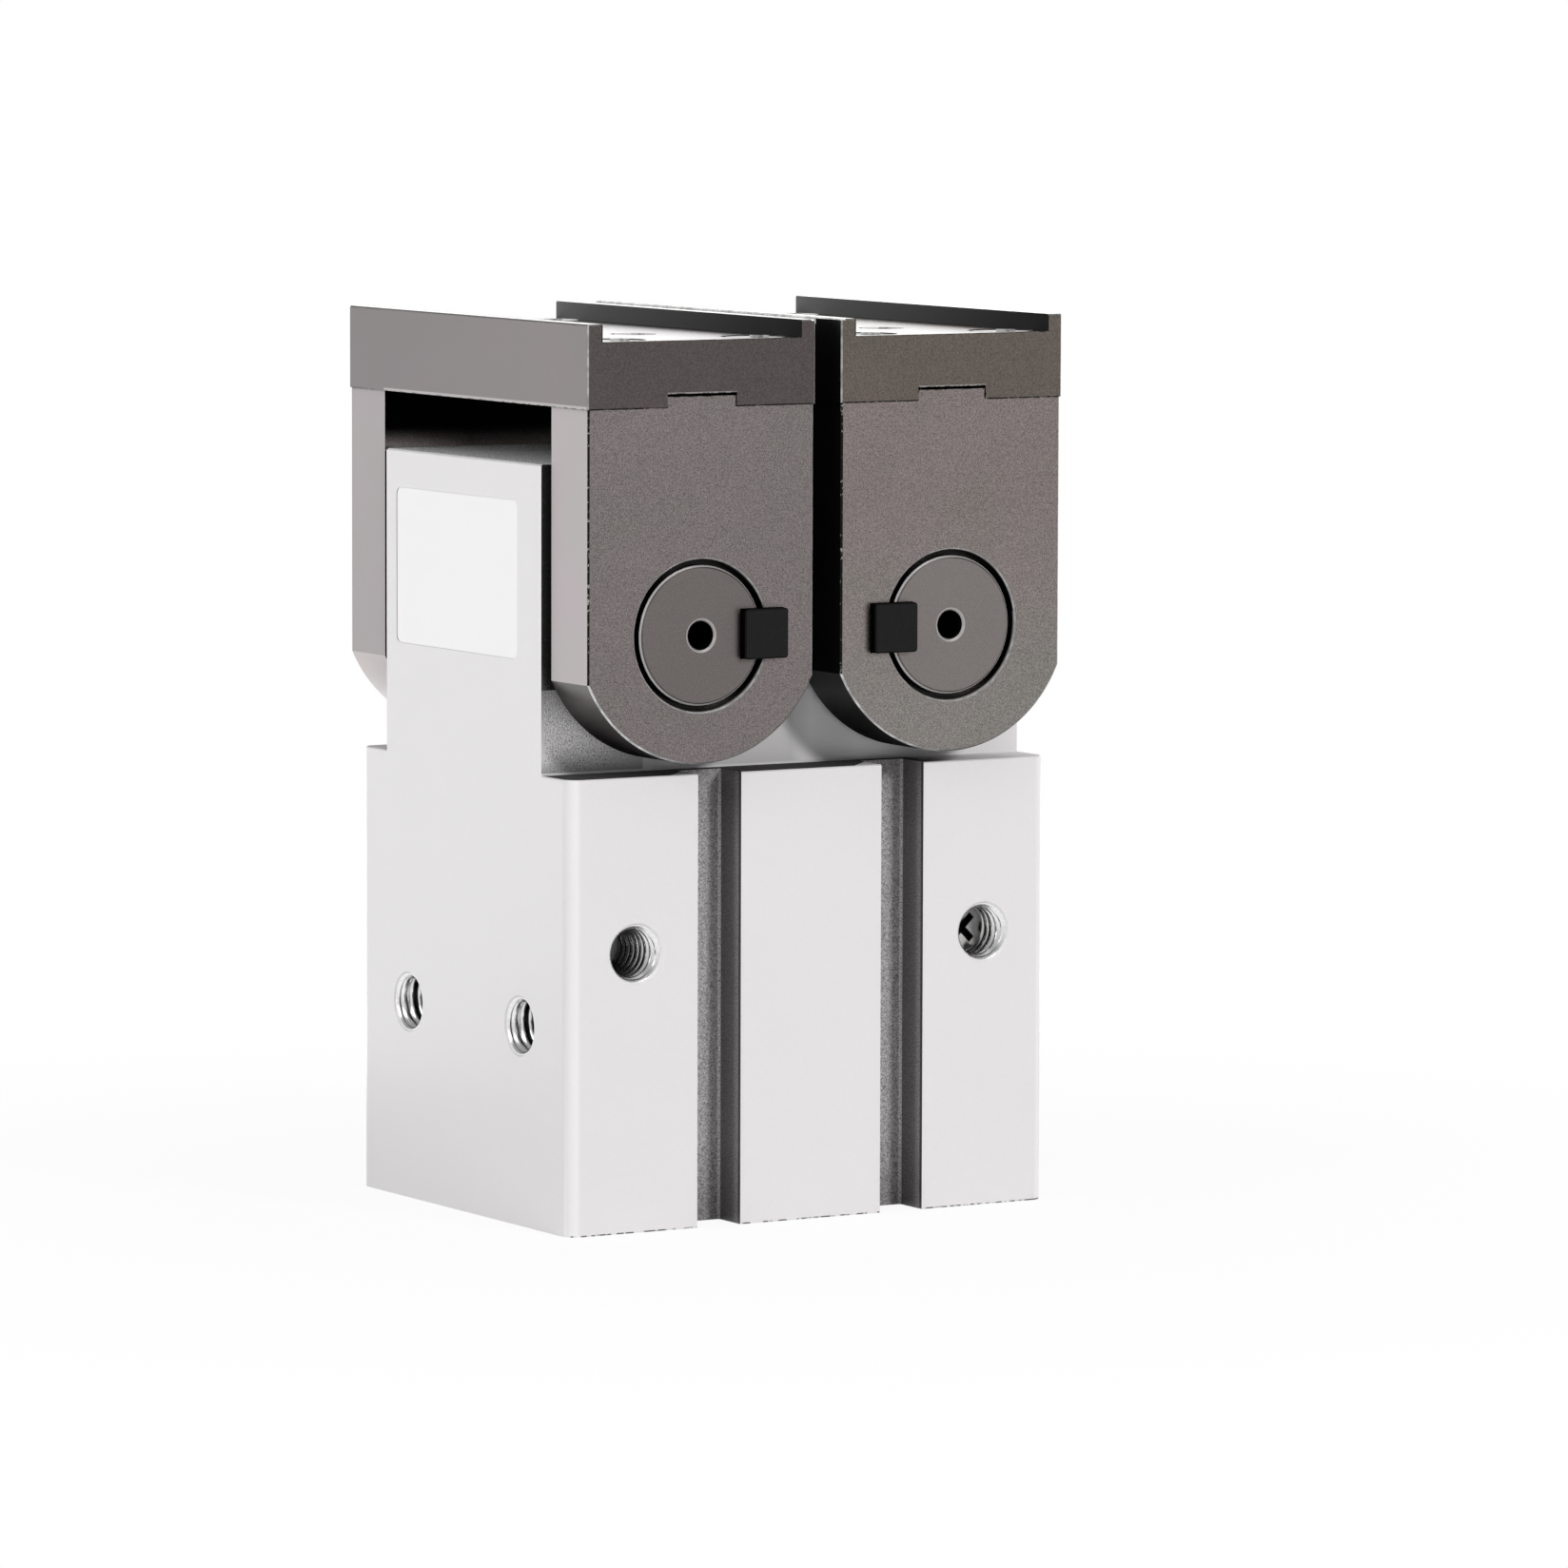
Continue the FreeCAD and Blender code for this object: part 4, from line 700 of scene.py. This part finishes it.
def finger_material(name, finger, colour, contrast, left_marks):
    """Brown-grey hard anodised finger metal with cloudy tints, rubbed chamfers and marked seams, under painted
    highlights, painted shade, a painted sheen and a painted reflection.
    """
    material, tree, shader = new_material(name, FINGER_ROUGHNESS, FINGER_METAL)
    x, y, z = surface_place(tree)
    across, _, upward = surface_normal(tree)
    grain = effect(tree, GRAIN, Grains_per_metre=9000.0, Contrast=contrast, Clouding=0.10)
    edges = effect(tree, EDGES, Width=0.0002, Breaks_per_metre=EDGE_BREAKS)
    tint = mixed(tree, grain["Cloud"], (0.98, 1.0, 0.97, 1), (1.02, 0.99, 1.0, 1))
    # Painted light: the lower part of the right finger's plates made lighter and a little greener
    lowness = ranged(tree, z, PIVOT_Z + LOW_LIGHT_TINT_TOP * MM, PIVOT_Z - LOW_LIGHT_TINT_FULL * MM)
    low_light_tint = mixed(tree, lowness, WHITE, finger["low_light_tint"])
    on_side = above(tree, size_of(tree, across), FLAT_SHARE)
    # Painted sheen: the sides' colour shifted towards the neutral grey of reflected light
    side_sheen_tint = mixed(tree, on_side, WHITE, (0.97, 1.005, 1.035, 1))
    tinted = mixed(tree, 1.0, mixed(tree, 1.0, colour, tint, "MULTIPLY"), low_light_tint, "MULTIPLY")
    tinted = mixed(tree, 1.0, tinted, side_sheen_tint, "MULTIPLY")
    between = facing_gap(tree)
    base = shaded(tree, tinted, finger_shade(tree, grain, finger["foot"], between))
    seam = product(tree, edges["Broken edge"], above(tree, z, BAR_LOW.z - SEAM_DROP * MM))
    # Painted highlight lines along the bottom of the crossbar's outer sides and over the tongue slot
    lower_rim = product(tree, near(tree, z, BAR_LOW.z + LOWER_RIM_HALF * MM, LOWER_RIM_HALF * MM), on_side,
                        above(tree, size_of(tree, x), PIVOT_X), below(tree, y, PLATE_INNER_Y))
    rubbed_and_lit, marks, level = chamfer_masks(tree, finger["side"], left_marks, between)
    lip = inside_lip(tree)
    # Painted shade on the lips' inner faces, lighter towards the back
    lip_shade_grey = grey_of(tree, ranged(tree, y, BAR_LOW.y, BAR_HIGH.y, 0.02, 0.16))
    seam_line, slot_line = seam_masks(tree)
    holes, hole_rim_shade = crossbar_holes(tree)
    light = greatest(tree, product(tree, lower_rim, 0.14), product(tree, slot_line, 0.25))
    black = greatest(tree, seam, seam_line, marks)
    base = mixed(tree, light, base, HIGHLIGHT_METAL)
    base = mixed(tree, black, base, BLACK_MARK_AND_SHADE)
    # Painted light on the hole walls, and a painted shade line at the rim of the front screw holes
    base = mixed(tree, holes, base, mixed(tree, hole_rim_shade, (0.85, 0.84, 0.83, 1), BLACK_MARK_AND_SHADE))
    base = mixed(tree, rubbed_and_lit, base, grey_of(tree, level))
    join(tree, mixed(tree, lip, base, lip_shade_grey), shader["Base Color"])
    # Rubbed chamfers and the painted light on hole walls are left without metal
    bare_and_lit = greatest(tree, rubbed_and_lit, holes)
    join(tree, ranged(tree, bare_and_lit, 0.0, 1.0, FINGER_METAL, 0.0), shader["Metallic"])
    under_foot = product(tree, ranged(tree, upward, -0.55, -0.85), below(tree, y, 0.0),
                         below(tree, z, PIVOT_Z))
    dull = greatest(tree, lip, between, under_foot)
    join(tree, ranged(tree, dull, 0.0, 1.0, FINGER_ROUGHNESS, DULL_ROUGHNESS), shader["Roughness"])
    bumped(tree, shader, grain["Height"], 0.10, 0.00003)
    return material


def shaft_material(name, side, colour):
    """Turned shaft end, a little greener than the plates, with faint lathe rings, painted highlights on its
    rims and painted shade in its hollows.
    """
    material, tree, shader = new_material(name, 0.34, FINGER_METAL)
    _, facing, _ = surface_normal(tree)
    facing = size_of(tree, facing)
    grain = effect(tree, GRAIN, Grains_per_metre=9000.0, Contrast=0.7, Clouding=0.06)
    rings = effect(tree, RINGS, Axis_X=side * PIVOT_X, Axis_Z=PIVOT_Z, Rings_per_metre=7000.0)
    cavity = effect(tree, CAVITY, Reach=0.003, Depth=2.0)
    # Painted highlights on the rim chamfer and round the centre hole
    rim = product(tree, near(tree, facing, CHAMFER_SHARE, 0.2), 0.55,
                  above(tree, rings["Radius"], (SHAFT_RADIUS - SHAFT_RIM_WIDTH) * MM))
    hole_ring = near(tree, rings["Radius"], (CENTRE_HOLE_RADIUS + HOLE_RING_OFFSET) * MM, HOLE_RING_HALF * MM)
    hole_edge = product(tree, hole_ring, above(tree, facing, 0.5), 0.35)
    bright = greatest(tree, rim, hole_edge)
    plain = greatest(tree, above(tree, facing, FLAT_SHARE), above(tree, hole_edge, 0.0))
    # Painted shade in the hollows, left out on flat faces and the hole's ring
    open_share = greatest(tree, cavity["Open"], plain)
    shade = product(tree, grain["Shade"], rings["Shade"], open_share)
    base = shaded(tree, colour, shade)
    join(tree, mixed(tree, bright, base, HIGHLIGHT_METAL), shader["Base Color"])
    join(tree, ranged(tree, bright, 0.0, 1.0, FINGER_METAL, 0.0), shader["Metallic"])
    bumped(tree, shader, rings["Height"], 0.04, 0.00002)
    return material


def key_material():
    """Dull black key with painted shade on its sides."""
    material, tree, shader = new_material("key_black", 0.6, 0.0, 0.0)
    _, facing, _ = surface_normal(tree)
    grain = effect(tree, GRAIN, Grains_per_metre=6000.0, Contrast=0.5, Clouding=0.10)
    shade = product(tree, grain["Shade"], ranged(tree, size_of(tree, facing), 0.5, 0.95, 0.08, 1.0))
    join(tree, shaded(tree, (0.018, 0.0172, 0.0175, 1), shade), shader["Base Color"])
    return material


def restrictor_material():
    """Turned steel with patches of painted gleam and a cross slot filled with black painted shade."""
    material, tree, shader = new_material("restrictor_steel", 0.35, 0.6)
    _, y, _ = surface_place(tree)
    grain = effect(tree, GRAIN, Grains_per_metre=3500.0, Contrast=0.3, Clouding=0.10)
    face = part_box("port_restrictor")[0].y
    # Patches of painted gleam, and black painted shade inside the cross slot
    patches = ranged(tree, noise(tree, GLEAM_PATCHES, 1.0, 0.5), 0.45, 0.58)
    gleam = mixed(tree, patches, (0.06, 0.06, 0.06, 1), (0.80, 0.79, 0.78, 1))
    colour = mixed(tree, above(tree, y, face + RESTRICTOR_SLOT_START * MM), gleam, BLACK_MARK_AND_SHADE)
    join(tree, shaded(tree, colour, grain["Shade"]), shader["Base Color"])
    return material


def plain_metal(name, colour, roughness, metallic, contrast=0.08, specular=0.5):
    """Bare or blackened metal with a fine speckle."""
    material, tree, shader = new_material(name, roughness, metallic, specular)
    grain = effect(tree, GRAIN, Grains_per_metre=3500.0, Contrast=contrast, Clouding=0.10)
    join(tree, shaded(tree, colour, grain["Shade"]), shader["Base Color"])
    bumped(tree, shader, grain["Height"], 0.10, 0.00003)
    return material


def cut_thread_material(name, crest_colour, root_shade_colour, metallic):
    """Thread with painted light and shade: wide bright crests at the mouth, thin ones deeper down, black roots
    as painted shade, and more painted shade deeper in and on the lower half.
    """
    material, tree, shader = new_material(name, 0.22, metallic)
    depth = add_node(tree, "ShaderNodeAttribute", attribute_name="thread_depth").outputs["Fac"]
    inward = add_node(tree, "ShaderNodeAttribute", attribute_name="hole_depth").outputs["Fac"]
    _, _, upward = surface_normal(tree)
    grain = effect(tree, GRAIN, Grains_per_metre=3500.0, Contrast=0.3, Clouding=0.10)
    limit = ranged(tree, inward, 0.9, 2.2, 1.2, 0.55)
    in_root = ranged(tree, maths(tree, "SUBTRACT", depth, limit), -0.2, 0.0)
    flank = mixed(tree, in_root, crest_colour, root_shade_colour)
    shade = product(tree, grain["Shade"], ranged(tree, inward, 0.5, 6.0, 1.0, 0.6),
                    ranged(tree, upward, -0.2, 0.6, 1.0, 0.35))
    join(tree, shaded(tree, flank, shade), shader["Base Color"])
    return material


def nameplate_material():
    """Blank white film."""
    material, tree, shader = new_material("blank_nameplate", 0.38, 0.0, 0.3)
    grain = effect(tree, GRAIN, Grains_per_metre=2500.0, Contrast=0.015, Clouding=0.02)
    join(tree, shaded(tree, (0.92, 0.91, 0.91, 1), grain["Shade"]), shader["Base Color"])
    return material


def soft_material(name, colour, roughness):
    """Rubber or resin with a faint mottle."""
    material, tree, shader = new_material(name, roughness, 0.0)
    grain = effect(tree, GRAIN, Grains_per_metre=3000.0, Contrast=0.15, Clouding=0.15)
    join(tree, shaded(tree, colour, grain["Shade"]), shader["Base Color"])
    bumped(tree, shader, grain["Height"], 0.10, 0.00003)
    return material


# Threads and screws

def ring_of_vertices(bm, radii, level, centre=(0.0, 0.0, 0.0)):
    """Ring about the Z axis with one radius for each vertex, in millimetres."""
    ring = []
    for index, radius in enumerate(radii):
        angle = 2 * math.pi * index / len(radii)
        place = Vector((radius * math.cos(angle), radius * math.sin(angle), level)) + Vector(centre)
        ring.append(bm.verts.new(place * MM))
    return ring


def bridge_rings(bm, rings):
    """Quads between successive rings."""
    for low, high in zip(rings, rings[1:]):
        for index in range(len(low)):
            following = (index + 1) % len(low)
            bm.faces.new((low[index], low[following], high[following], high[index]))


def finished_mesh(name, bm, body, place=Matrix.Identity(4), smooth_angle=35.0):
    """Piece from a bmesh, placed in the CAD frame, shaded smooth below an angle and carried by a body."""
    bmesh.ops.recalc_face_normals(bm, faces=bm.faces)
    mesh = bpy.data.meshes.new(name)
    bm.to_mesh(mesh)
    bm.free()
    mesh.transform(place)
    mesh.shade_smooth()
    mesh.set_sharp_from_angle(angle=math.radians(smooth_angle))
    piece = bpy.data.objects.new(name, mesh)
    bpy.context.scene.collection.objects.link(piece)
    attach(piece, body)
    return piece


def thread_depth(turn, level, pitch):
    """Depth of the thread below its crest, 0 to 1, at a share of a turn and a level; fades in at the mouth."""
    flank = abs(2 * ((level / pitch - turn) % 1.0) - 1)
    profile = min(max((flank - 0.15) / 0.75, 0.0), 1.0)
    return profile * min(max((level - THREAD_START) / (FADE_SHARE * pitch), 0.0), 1.0)


def thread_lining(name, body, mouth, outward, diameter, depth, segments=40, steps=8):
    """Threaded lining of a tapped hole, closed all round, with a countersunk start."""
    pitch = THREAD_PITCHES[diameter]
    root = diameter / 2 - THREAD_ROOT_MARGIN
    crest = diameter / 2 - CREST_SHARE * pitch
    outer = [diameter / 2 - LINING_MARGIN] * segments
    bm = bmesh.new()
    depth_layer = bm.verts.layers.float.new("thread_depth")
    inward_layer = bm.verts.layers.float.new("hole_depth")
    rings = [ring_of_vertices(bm, outer, -depth), ring_of_vertices(bm, outer, -HOLE_COUNTERSINK)]
    count = int((depth - HOLE_COUNTERSINK) / pitch * steps)
    for row in range(count + 1):
        level = HOLE_COUNTERSINK + (depth - HOLE_COUNTERSINK) * row / count
        top = max(root - (level - HOLE_COUNTERSINK), crest)
        depths = [thread_depth(index / segments, level, pitch) for index in range(segments)]
        ring = ring_of_vertices(bm, [top + (root - top) * share for share in depths], -level)
        for vertex, share in zip(ring, depths):
            vertex[depth_layer] = share
            vertex[inward_layer] = level
        rings.append(ring)
    bridge_rings(bm, rings + rings[:1])
    turn = Vector(outward).to_track_quat("Z", "Y").to_matrix().to_4x4()
    return finished_mesh(name, bm, body, Matrix.Translation(mouth) @ turn, THREAD_SMOOTH_ANGLE)


def hexagon_radius(angle, across_flats):
    """Distance from the middle of a hexagon to its side at an angle."""
    sector = (angle + math.pi / 6) % (math.pi / 3) - math.pi / 6
    return across_flats / 2 / math.cos(sector)


def cap_screw_into(bm, seat, segments=72):
    """Socket cap screw on its seat: knurled head with a rounded rim, chamfered hexagon socket and shank."""
    head = SCREW_HEAD_RADIUS
    shank = SCREW_SHANK_RADIUS
    top = SCREW_HEAD_HEIGHT
    knurl = [head - SCREW_KNURL * (index % 2) for index in range(segments)]
    hexagon = [hexagon_radius(2 * math.pi * index / segments, SCREW_HEX) for index in range(segments)]
    levels = [([shank - SCREW_TIP_CHAMFER] * segments, -SCREW_LENGTH),
              ([shank] * segments, SCREW_TIP_CHAMFER - SCREW_LENGTH), ([shank] * segments, 0.0),
              ([head - SCREW_SEAT_CHAMFER] * segments, 0.0), (knurl, SCREW_SEAT_CHAMFER),
              (knurl, top - SCREW_KNURL_END)]
    levels += [([head - inset] * segments, top - drop) for inset, drop in SCREW_RIM]
    levels += [([radius + SCREW_HEX_CHAMFER_WIDTH for radius in hexagon], top),
               (hexagon, top - SCREW_HEX_CHAMFER_DROP), (hexagon, top - SCREW_HEX_DEPTH)]
    rings = [ring_of_vertices(bm, radii, level, seat) for radii, level in levels]
    bridge_rings(bm, rings)
    bm.faces.new(rings[0])
    bm.faces.new(rings[-1])


def crossbar_screws(name):
    """The four cap screws of one finger, seated in the crossbar's counterbores."""
    low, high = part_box(name + "_crossbar_screws")
    seat = low.z / MM + SCREW_LENGTH
    bm = bmesh.new()
    for x in (low.x / MM + SCREW_HEAD_RADIUS, high.x / MM - SCREW_HEAD_RADIUS):
        for y in (low.y / MM + SCREW_HEAD_RADIUS, high.y / MM - SCREW_HEAD_RADIUS):
            cap_screw_into(bm, (x, y, seat))
    piece = finished_mesh(name + "_cap_screws", bm, name + "_finger")
    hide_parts(name + "_crossbar_screws")
    return piece


def port_threads():
    """Thread linings of the two air ports."""
    pieces = []
    for name, depth in PORT_THREAD_DEPTHS.items():
        place = MOUNTS[name]["pos_m"]
        mouth = Vector((place[0], BLOCK_LOW.y, place[2]))
        pieces.append(thread_lining(name + "_thread", "housing", mouth, (0, -1, 0),
                                    MOUNT_THREAD, depth))
    return pieces


def mounting_threads():
    """Thread linings of the tapped holes in both sides and the base."""
    pieces = []
    base = MOUNTS["base_holes"]["dims"]
    for side, word in ((-1, "left"), (1, "right")):
        holes = MOUNTS[word + "_side_holes"]
        for end, row in ((-1, "front"), (1, "rear")):
            mouth = Vector(holes["pos_m"]) + Vector((0, end * holes["dims"]["spacing_x_mm"] / 2 * MM, 0))
            pieces.append(thread_lining(f"{word}_side_{row}_thread", "housing", mouth,
                                        (side, 0, 0), MOUNT_THREAD, MOUNT_THREAD_DEPTH))
            mouth = Vector((side * base["spacing_x_mm"] / 2, end * base["spacing_y_mm"] / 2, 0)) * MM
            pieces.append(thread_lining(f"{word}_base_{row}_thread", "housing", mouth,
                                        (0, 0, -1), MOUNT_THREAD, MOUNT_THREAD_DEPTH))
    return pieces


def jaw_threads(name):
    """Thread linings of the two jaw holes in one crossbar."""
    holes = MOUNTS[name + "_jaw_holes"]
    pieces = []
    for end, row in ((-1, "front"), (1, "rear")):
        mouth = Vector(holes["pos_m"]) + Vector((0, end * holes["dims"]["spacing_y_mm"] / 2 * MM, 0))
        pieces.append(thread_lining(f"{name}_jaw_{row}_thread", name + "_finger", mouth,
                                    (0, 0, 1), JAW_THREAD, JAW_THREAD_DEPTH))
    return pieces


# Stage

def place_camera():
    """Camera at the photograph's place, with its own small roll."""
    azimuth = math.radians(CAMERA_AZIMUTH)
    elevation = math.radians(CAMERA_ELEVATION)
    roll = math.radians(CAMERA_ROLL)
    back = Vector((-math.sin(azimuth) * math.cos(elevation), -math.cos(azimuth) * math.cos(elevation),
                   math.sin(elevation)))
    right = Vector((math.cos(azimuth), -math.sin(azimuth), 0))
    up = back.cross(right)
    across = math.cos(roll) * right + math.sin(roll) * up
    upward = math.cos(roll) * up - math.sin(roll) * right
    data = bpy.data.cameras.new("photo_camera")
    data.sensor_width = SENSOR_WIDTH
    data.lens = FOCAL_PIXELS / IMAGE_SIZE * SENSOR_WIDTH
    data.clip_start = VIEW_NEAR
    data.clip_end = VIEW_FAR
    camera = bpy.data.objects.new("photo_camera", data)
    camera.matrix_world = Matrix((across, upward, back)).transposed().to_4x4()
    camera.location = Vector((0, 0, AIM_HEIGHT)) * MM
    camera.location += (back * CAMERA_DISTANCE + right * CAMERA_SIDE + up * CAMERA_RISE) * MM
    bpy.context.scene.collection.objects.link(camera)
    bpy.context.scene.camera = camera


def background_share(tree):
    """1 for rays that look at the background itself: camera, glossy and transmission rays."""
    path = add_node(tree, "ShaderNodeLightPath").outputs
    return greatest(tree, path["Is Camera Ray"], path["Is Glossy Ray"], path["Is Transmission Ray"])


def white_world(light_strength):
    """World that is white to look at and gives soft light of its own strength."""
    world = bpy.data.worlds.new("white_studio")
    bpy.context.scene.world = world
    world.use_nodes = True
    tree = world.node_tree
    background = tree.nodes["Background"].inputs
    background["Color"].default_value = WHITE
    join(tree, ranged(tree, background_share(tree), 0.0, 1.0, light_strength, 1.0), background["Strength"])


def floor_material():
    """Pale floor that looks white and keeps a soft shadow close to the block."""
    material, tree, shader = new_material("studio_floor", 1.0, 0.0, 0.0)
    shader["Base Color"].default_value = (0.9, 0.9, 0.9, 1)
    reach = add_node(tree, "ShaderNodeVectorMath", operation="LENGTH")
    join(tree, add_node(tree, "ShaderNodeTexCoord").outputs["Object"], reach.inputs[0])
    clear = ranged(tree, reach.outputs["Value"], SHADOW_NEAR, SHADOW_FAR, 0.92, 1.0)
    blend = add_node(tree, "ShaderNodeMixShader")
    join(tree, product(tree, background_share(tree), clear), blend.inputs["Fac"])
    join(tree, tree.nodes["Principled BSDF"].outputs[0], blend.inputs[1])
    join(tree, add_node(tree, "ShaderNodeEmission").outputs[0], blend.inputs[2])
    join(tree, blend.outputs[0], tree.nodes["Material Output"].inputs["Surface"])
    return material


def white_floor():
    """Round floor under the block."""
    bm = bmesh.new()
    bmesh.ops.create_circle(bm, cap_ends=True, segments=64, radius=FLOOR_RADIUS)
    mesh = bpy.data.meshes.new("studio_floor")
    bm.to_mesh(mesh)
    bm.free()
    floor = bpy.data.objects.new("studio_floor", mesh)
    floor.location.z = -FLOOR_GAP
    floor.data.materials.append(floor_material())
    bpy.context.scene.collection.objects.link(floor)


def area_light(name, place, aim, size, watts, sheen_only=False):
    """Soft lamp looking at a point; a sheen lamp shows in metal faces but doesn't light dull ones."""
    data = bpy.data.lights.new(name, "AREA")
    data.shape = "RECTANGLE"
    data.size, data.size_y = size
    data.energy = watts
    lamp = bpy.data.objects.new(name, data)
    lamp.location = place
    lamp.rotation_euler = (Vector(aim) - Vector(place)).to_track_quat("-Z", "Y").to_euler()
    lamp.visible_camera = False
    lamp.visible_diffuse = not sheen_only
    bpy.context.scene.collection.objects.link(lamp)


def studio_lights():
    """Key from the front right, fill from the left, and panels that show in the metal's sides and tops."""
    area_light("key_lamp", (0.43, -1.41, 0.66), (0, 0, 0.04), (0.22, 0.22), 12.1)
    area_light("left_fill", (-1.15, -0.15, 0.55), (0, 0, 0.03), (0.6, 0.6), 5.35)
    area_light("top_panel", (0.1, -0.1, 1.1), (0, 0, 0.05), (0.9, 0.9), 2.5)
    area_light("left_back_panel", (-0.50, 0.72, 0.10), (0, 0, 0.10), (0.9, 0.24), 1.25, sheen_only=True)
    area_light("rear_floor_panel", (-0.15, 0.40, 0.002), (-0.15, 0.40, 1.0), (0.9, 0.66), 3.6,
               sheen_only=True)
    area_light("rear_panel", (0.55, 0.85, 0.2), (0, 0, 0.06), (0.8, 0.5), 2.8, sheen_only=True)


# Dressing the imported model

def set_material(piece, material):
    """Give a piece one material in place of what it came with."""
    piece.data.materials.clear()
    piece.data.materials.append(material)


def dress_housing(nodes, black):
    """Materials of the housing, the cylinder's end pieces and the rack."""
    steel = plain_metal("ground_steel", (0.56, 0.56, 0.55, 1), 0.25, 1.0)
    turned = plain_metal("turned_aluminium", (0.72, 0.72, 0.73, 1), 0.35, 0.9)
    bronze = plain_metal("bush_bronze", (0.50, 0.33, 0.14, 1), 0.40, 1.0, 0.15)
    seal = soft_material("seal_rubber", (0.018, 0.018, 0.018, 1), 0.55)
    bumper = soft_material("bumper_rubber", (0.06, 0.06, 0.06, 1), 0.6)
    finishes = {
        "housing_block": housing_material(), "nameplate": nameplate_material(),
        "port_restrictor": restrictor_material(),
        "end_cap": turned, "rod_gland": turned, "piston": turned, "rack_rod": steel,
        "end_cap_retaining_ring": black, "gland_retaining_ring": black, "piston_screw": black,
        "end_cap_o_ring": seal, "gland_o_ring": seal, "rod_seal": seal, "piston_seal": seal,
        "closing_bumper": bumper, "opening_bumper": bumper,
        "piston_wear_ring": soft_material("wear_ring_resin", (0.72, 0.68, 0.60, 1), 0.5),
        "piston_magnet": soft_material("bonded_magnet", (0.07, 0.07, 0.075, 1), 0.5),
        "left_front_bush": bronze, "left_rear_bush": bronze,
        "right_front_bush": bronze, "right_rear_bush": bronze,
    }
    for name, material in finishes.items():
        set_material(nodes[name], material)
    thread = cut_thread_material("cut_thread", (0.85, 0.85, 0.85, 1), (0.012, 0.012, 0.012, 1), 1.0)
    for piece in port_threads() + mounting_threads():
        set_material(piece, thread)


def dress_finger(nodes, name, finger, key, steel):
    """Materials and screws of one finger."""
    plate = finger_material(name + "_plate_anodised", finger, finger["plate"], 2.6, 1.0)
    bar = finger_material(name + "_crossbar_anodised", finger, finger["bar"], 1.8, 0.0)
    shaft = shaft_material(name + "_shaft_turned", finger["side"], finger["shaft"])
    set_material(nodes[name + "_pinion_shaft"], shaft)
    set_material(nodes[name + "_crossbar"], bar)
    set_material(nodes[name + "_crossbar_screws"], steel)
    for end in ("front", "rear"):
        set_material(nodes[f"{name}_{end}_plate"], plate)
        set_material(nodes[f"{name}_{end}_key"], key)
    set_material(crossbar_screws(name), steel)
    thread = cut_thread_material(name + "_jaw_thread", (0.85, 0.84, 0.83, 1), (0.7, 0.69, 0.68, 1), 0.0)
    for piece in jaw_threads(name):
        set_material(piece, thread)


dress_housing(frame["nodes"], plain_metal("black_oxide", (0.009, 0.009, 0.010, 1), 0.22, 0.0, 0.2))
key_black = key_material()
screw_steel = plain_metal("screw_steel", (0.62, 0.61, 0.60, 1), 0.22, 1.0)
for finger_name, finger in FINGERS.items():
    dress_finger(frame["nodes"], finger_name, finger, key_black, screw_steel)
place_camera()
white_world(WORLD_LIGHT)
white_floor()
studio_lights()
bpy.context.scene.view_settings.view_transform = "Standard"
